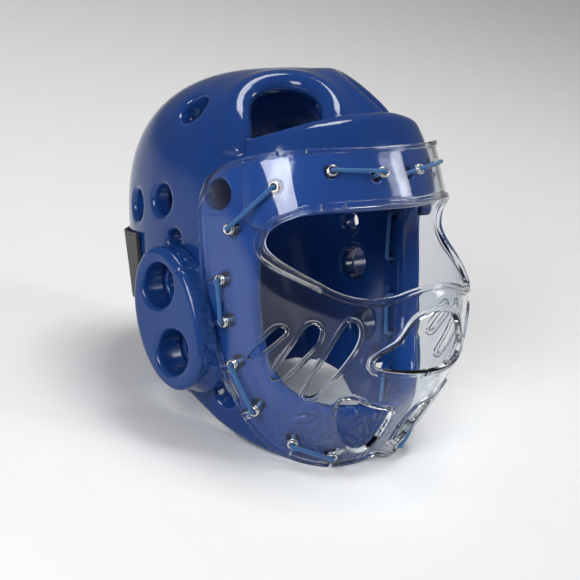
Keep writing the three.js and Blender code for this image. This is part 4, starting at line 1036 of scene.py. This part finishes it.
# Camera. It looks at the middle of the head from the right front and a little above, turned with the
# head's frame. The lens makes a picture point CAMERA_SCALE millimetres wide at the head.
CAMERA_TURN, CAMERA_RISE, CAMERA_ROLL = map(math.radians, (-44.0, 6.0, -1.5))
CAMERA_DISTANCE, CAMERA_SCALE, CAMERA_SENSOR, CAMERA_SHIFT, PICTURE = 1600.0, 0.72, 36.0, 5, 580
level = math.cos(CAMERA_RISE)
back = np.array([math.sin(CAMERA_TURN) * level, -math.cos(CAMERA_TURN) * level, math.sin(CAMERA_RISE)])
right = np.array([math.cos(CAMERA_TURN), math.sin(CAMERA_TURN), 0])
rolled = math.cos(CAMERA_ROLL) * right + math.sin(CAMERA_ROLL) * np.cross(back, right)
eye = bpy.data.cameras.new("camera")
eye.sensor_width, eye.lens = CAMERA_SENSOR, CAMERA_SENSOR * (CAMERA_DISTANCE / CAMERA_SCALE) / PICTURE
eye.shift_x, eye.shift_y = CAMERA_SHIFT / PICTURE, -CAMERA_SHIFT / PICTURE
camera = bpy.data.objects.new("camera", eye)
bpy.context.scene.collection.objects.link(camera)


def place_at(thing, at, right, back):
    """Puts an object at a place, its own right and back along two directions, all in the row's frame."""
    placed = np.eye(4)
    placed[:3, 0], placed[:3, 1], placed[:3, 2], placed[:3, 3] = right, np.cross(back, right), back, at
    thing.matrix_world = Matrix(placed.tolist())


at = back * CAMERA_DISTANCE @ HEAD_AXES / 1000 + HEAD_ORIGIN
place_at(camera, at, rolled @ HEAD_AXES, back @ HEAD_AXES)
bpy.context.scene.camera = camera

# Lights. A large soft box on the camera's left gives the long reflection on the brow, a smaller one
# above lifts the crown, and a weak one fills the far side. The room itself is a dim white.
ROOM_STRENGTH = 0.17
world = bpy.data.worlds.new("room")
world.use_nodes = True
feed(world.node_tree, world.node_tree.nodes["Background"], {"Color": (1, 1, 1, 1), "Strength": ROOM_STRENGTH})
bpy.context.scene.world = world


def soft_box(name, at, aim, width, height, power):
    """Rectangular light at a place, turned to an aim, both in head millimetres: metres and watts."""
    light = bpy.data.lights.new(name, "AREA")
    light.shape, light.size, light.size_y, light.energy = "RECTANGLE", width, height, power
    lamp = bpy.data.objects.new(name, light)
    bpy.context.scene.collection.objects.link(lamp)
    here, there = ((np.array(q, float) @ HEAD_AXES) / 1000 + HEAD_ORIGIN for q in (at, aim))
    back = (here - there) / np.linalg.norm(here - there)
    right = np.cross([0, 0, 1.0], back)
    place_at(lamp, here, right / np.linalg.norm(right), back)


soft_box("box_left", (-1430, -690, 640), (0, 0, 20), 0.6, 0.75, 17)
soft_box("box_above", (300, -300, 1500), (0, -20, 60), 0.7, 0.5, 13)
soft_box("box_right", (1100, -1100, 400), (0, 0, 0), 0.3, 0.7, 5)
bpy.context.scene.view_settings.view_transform = "Standard"
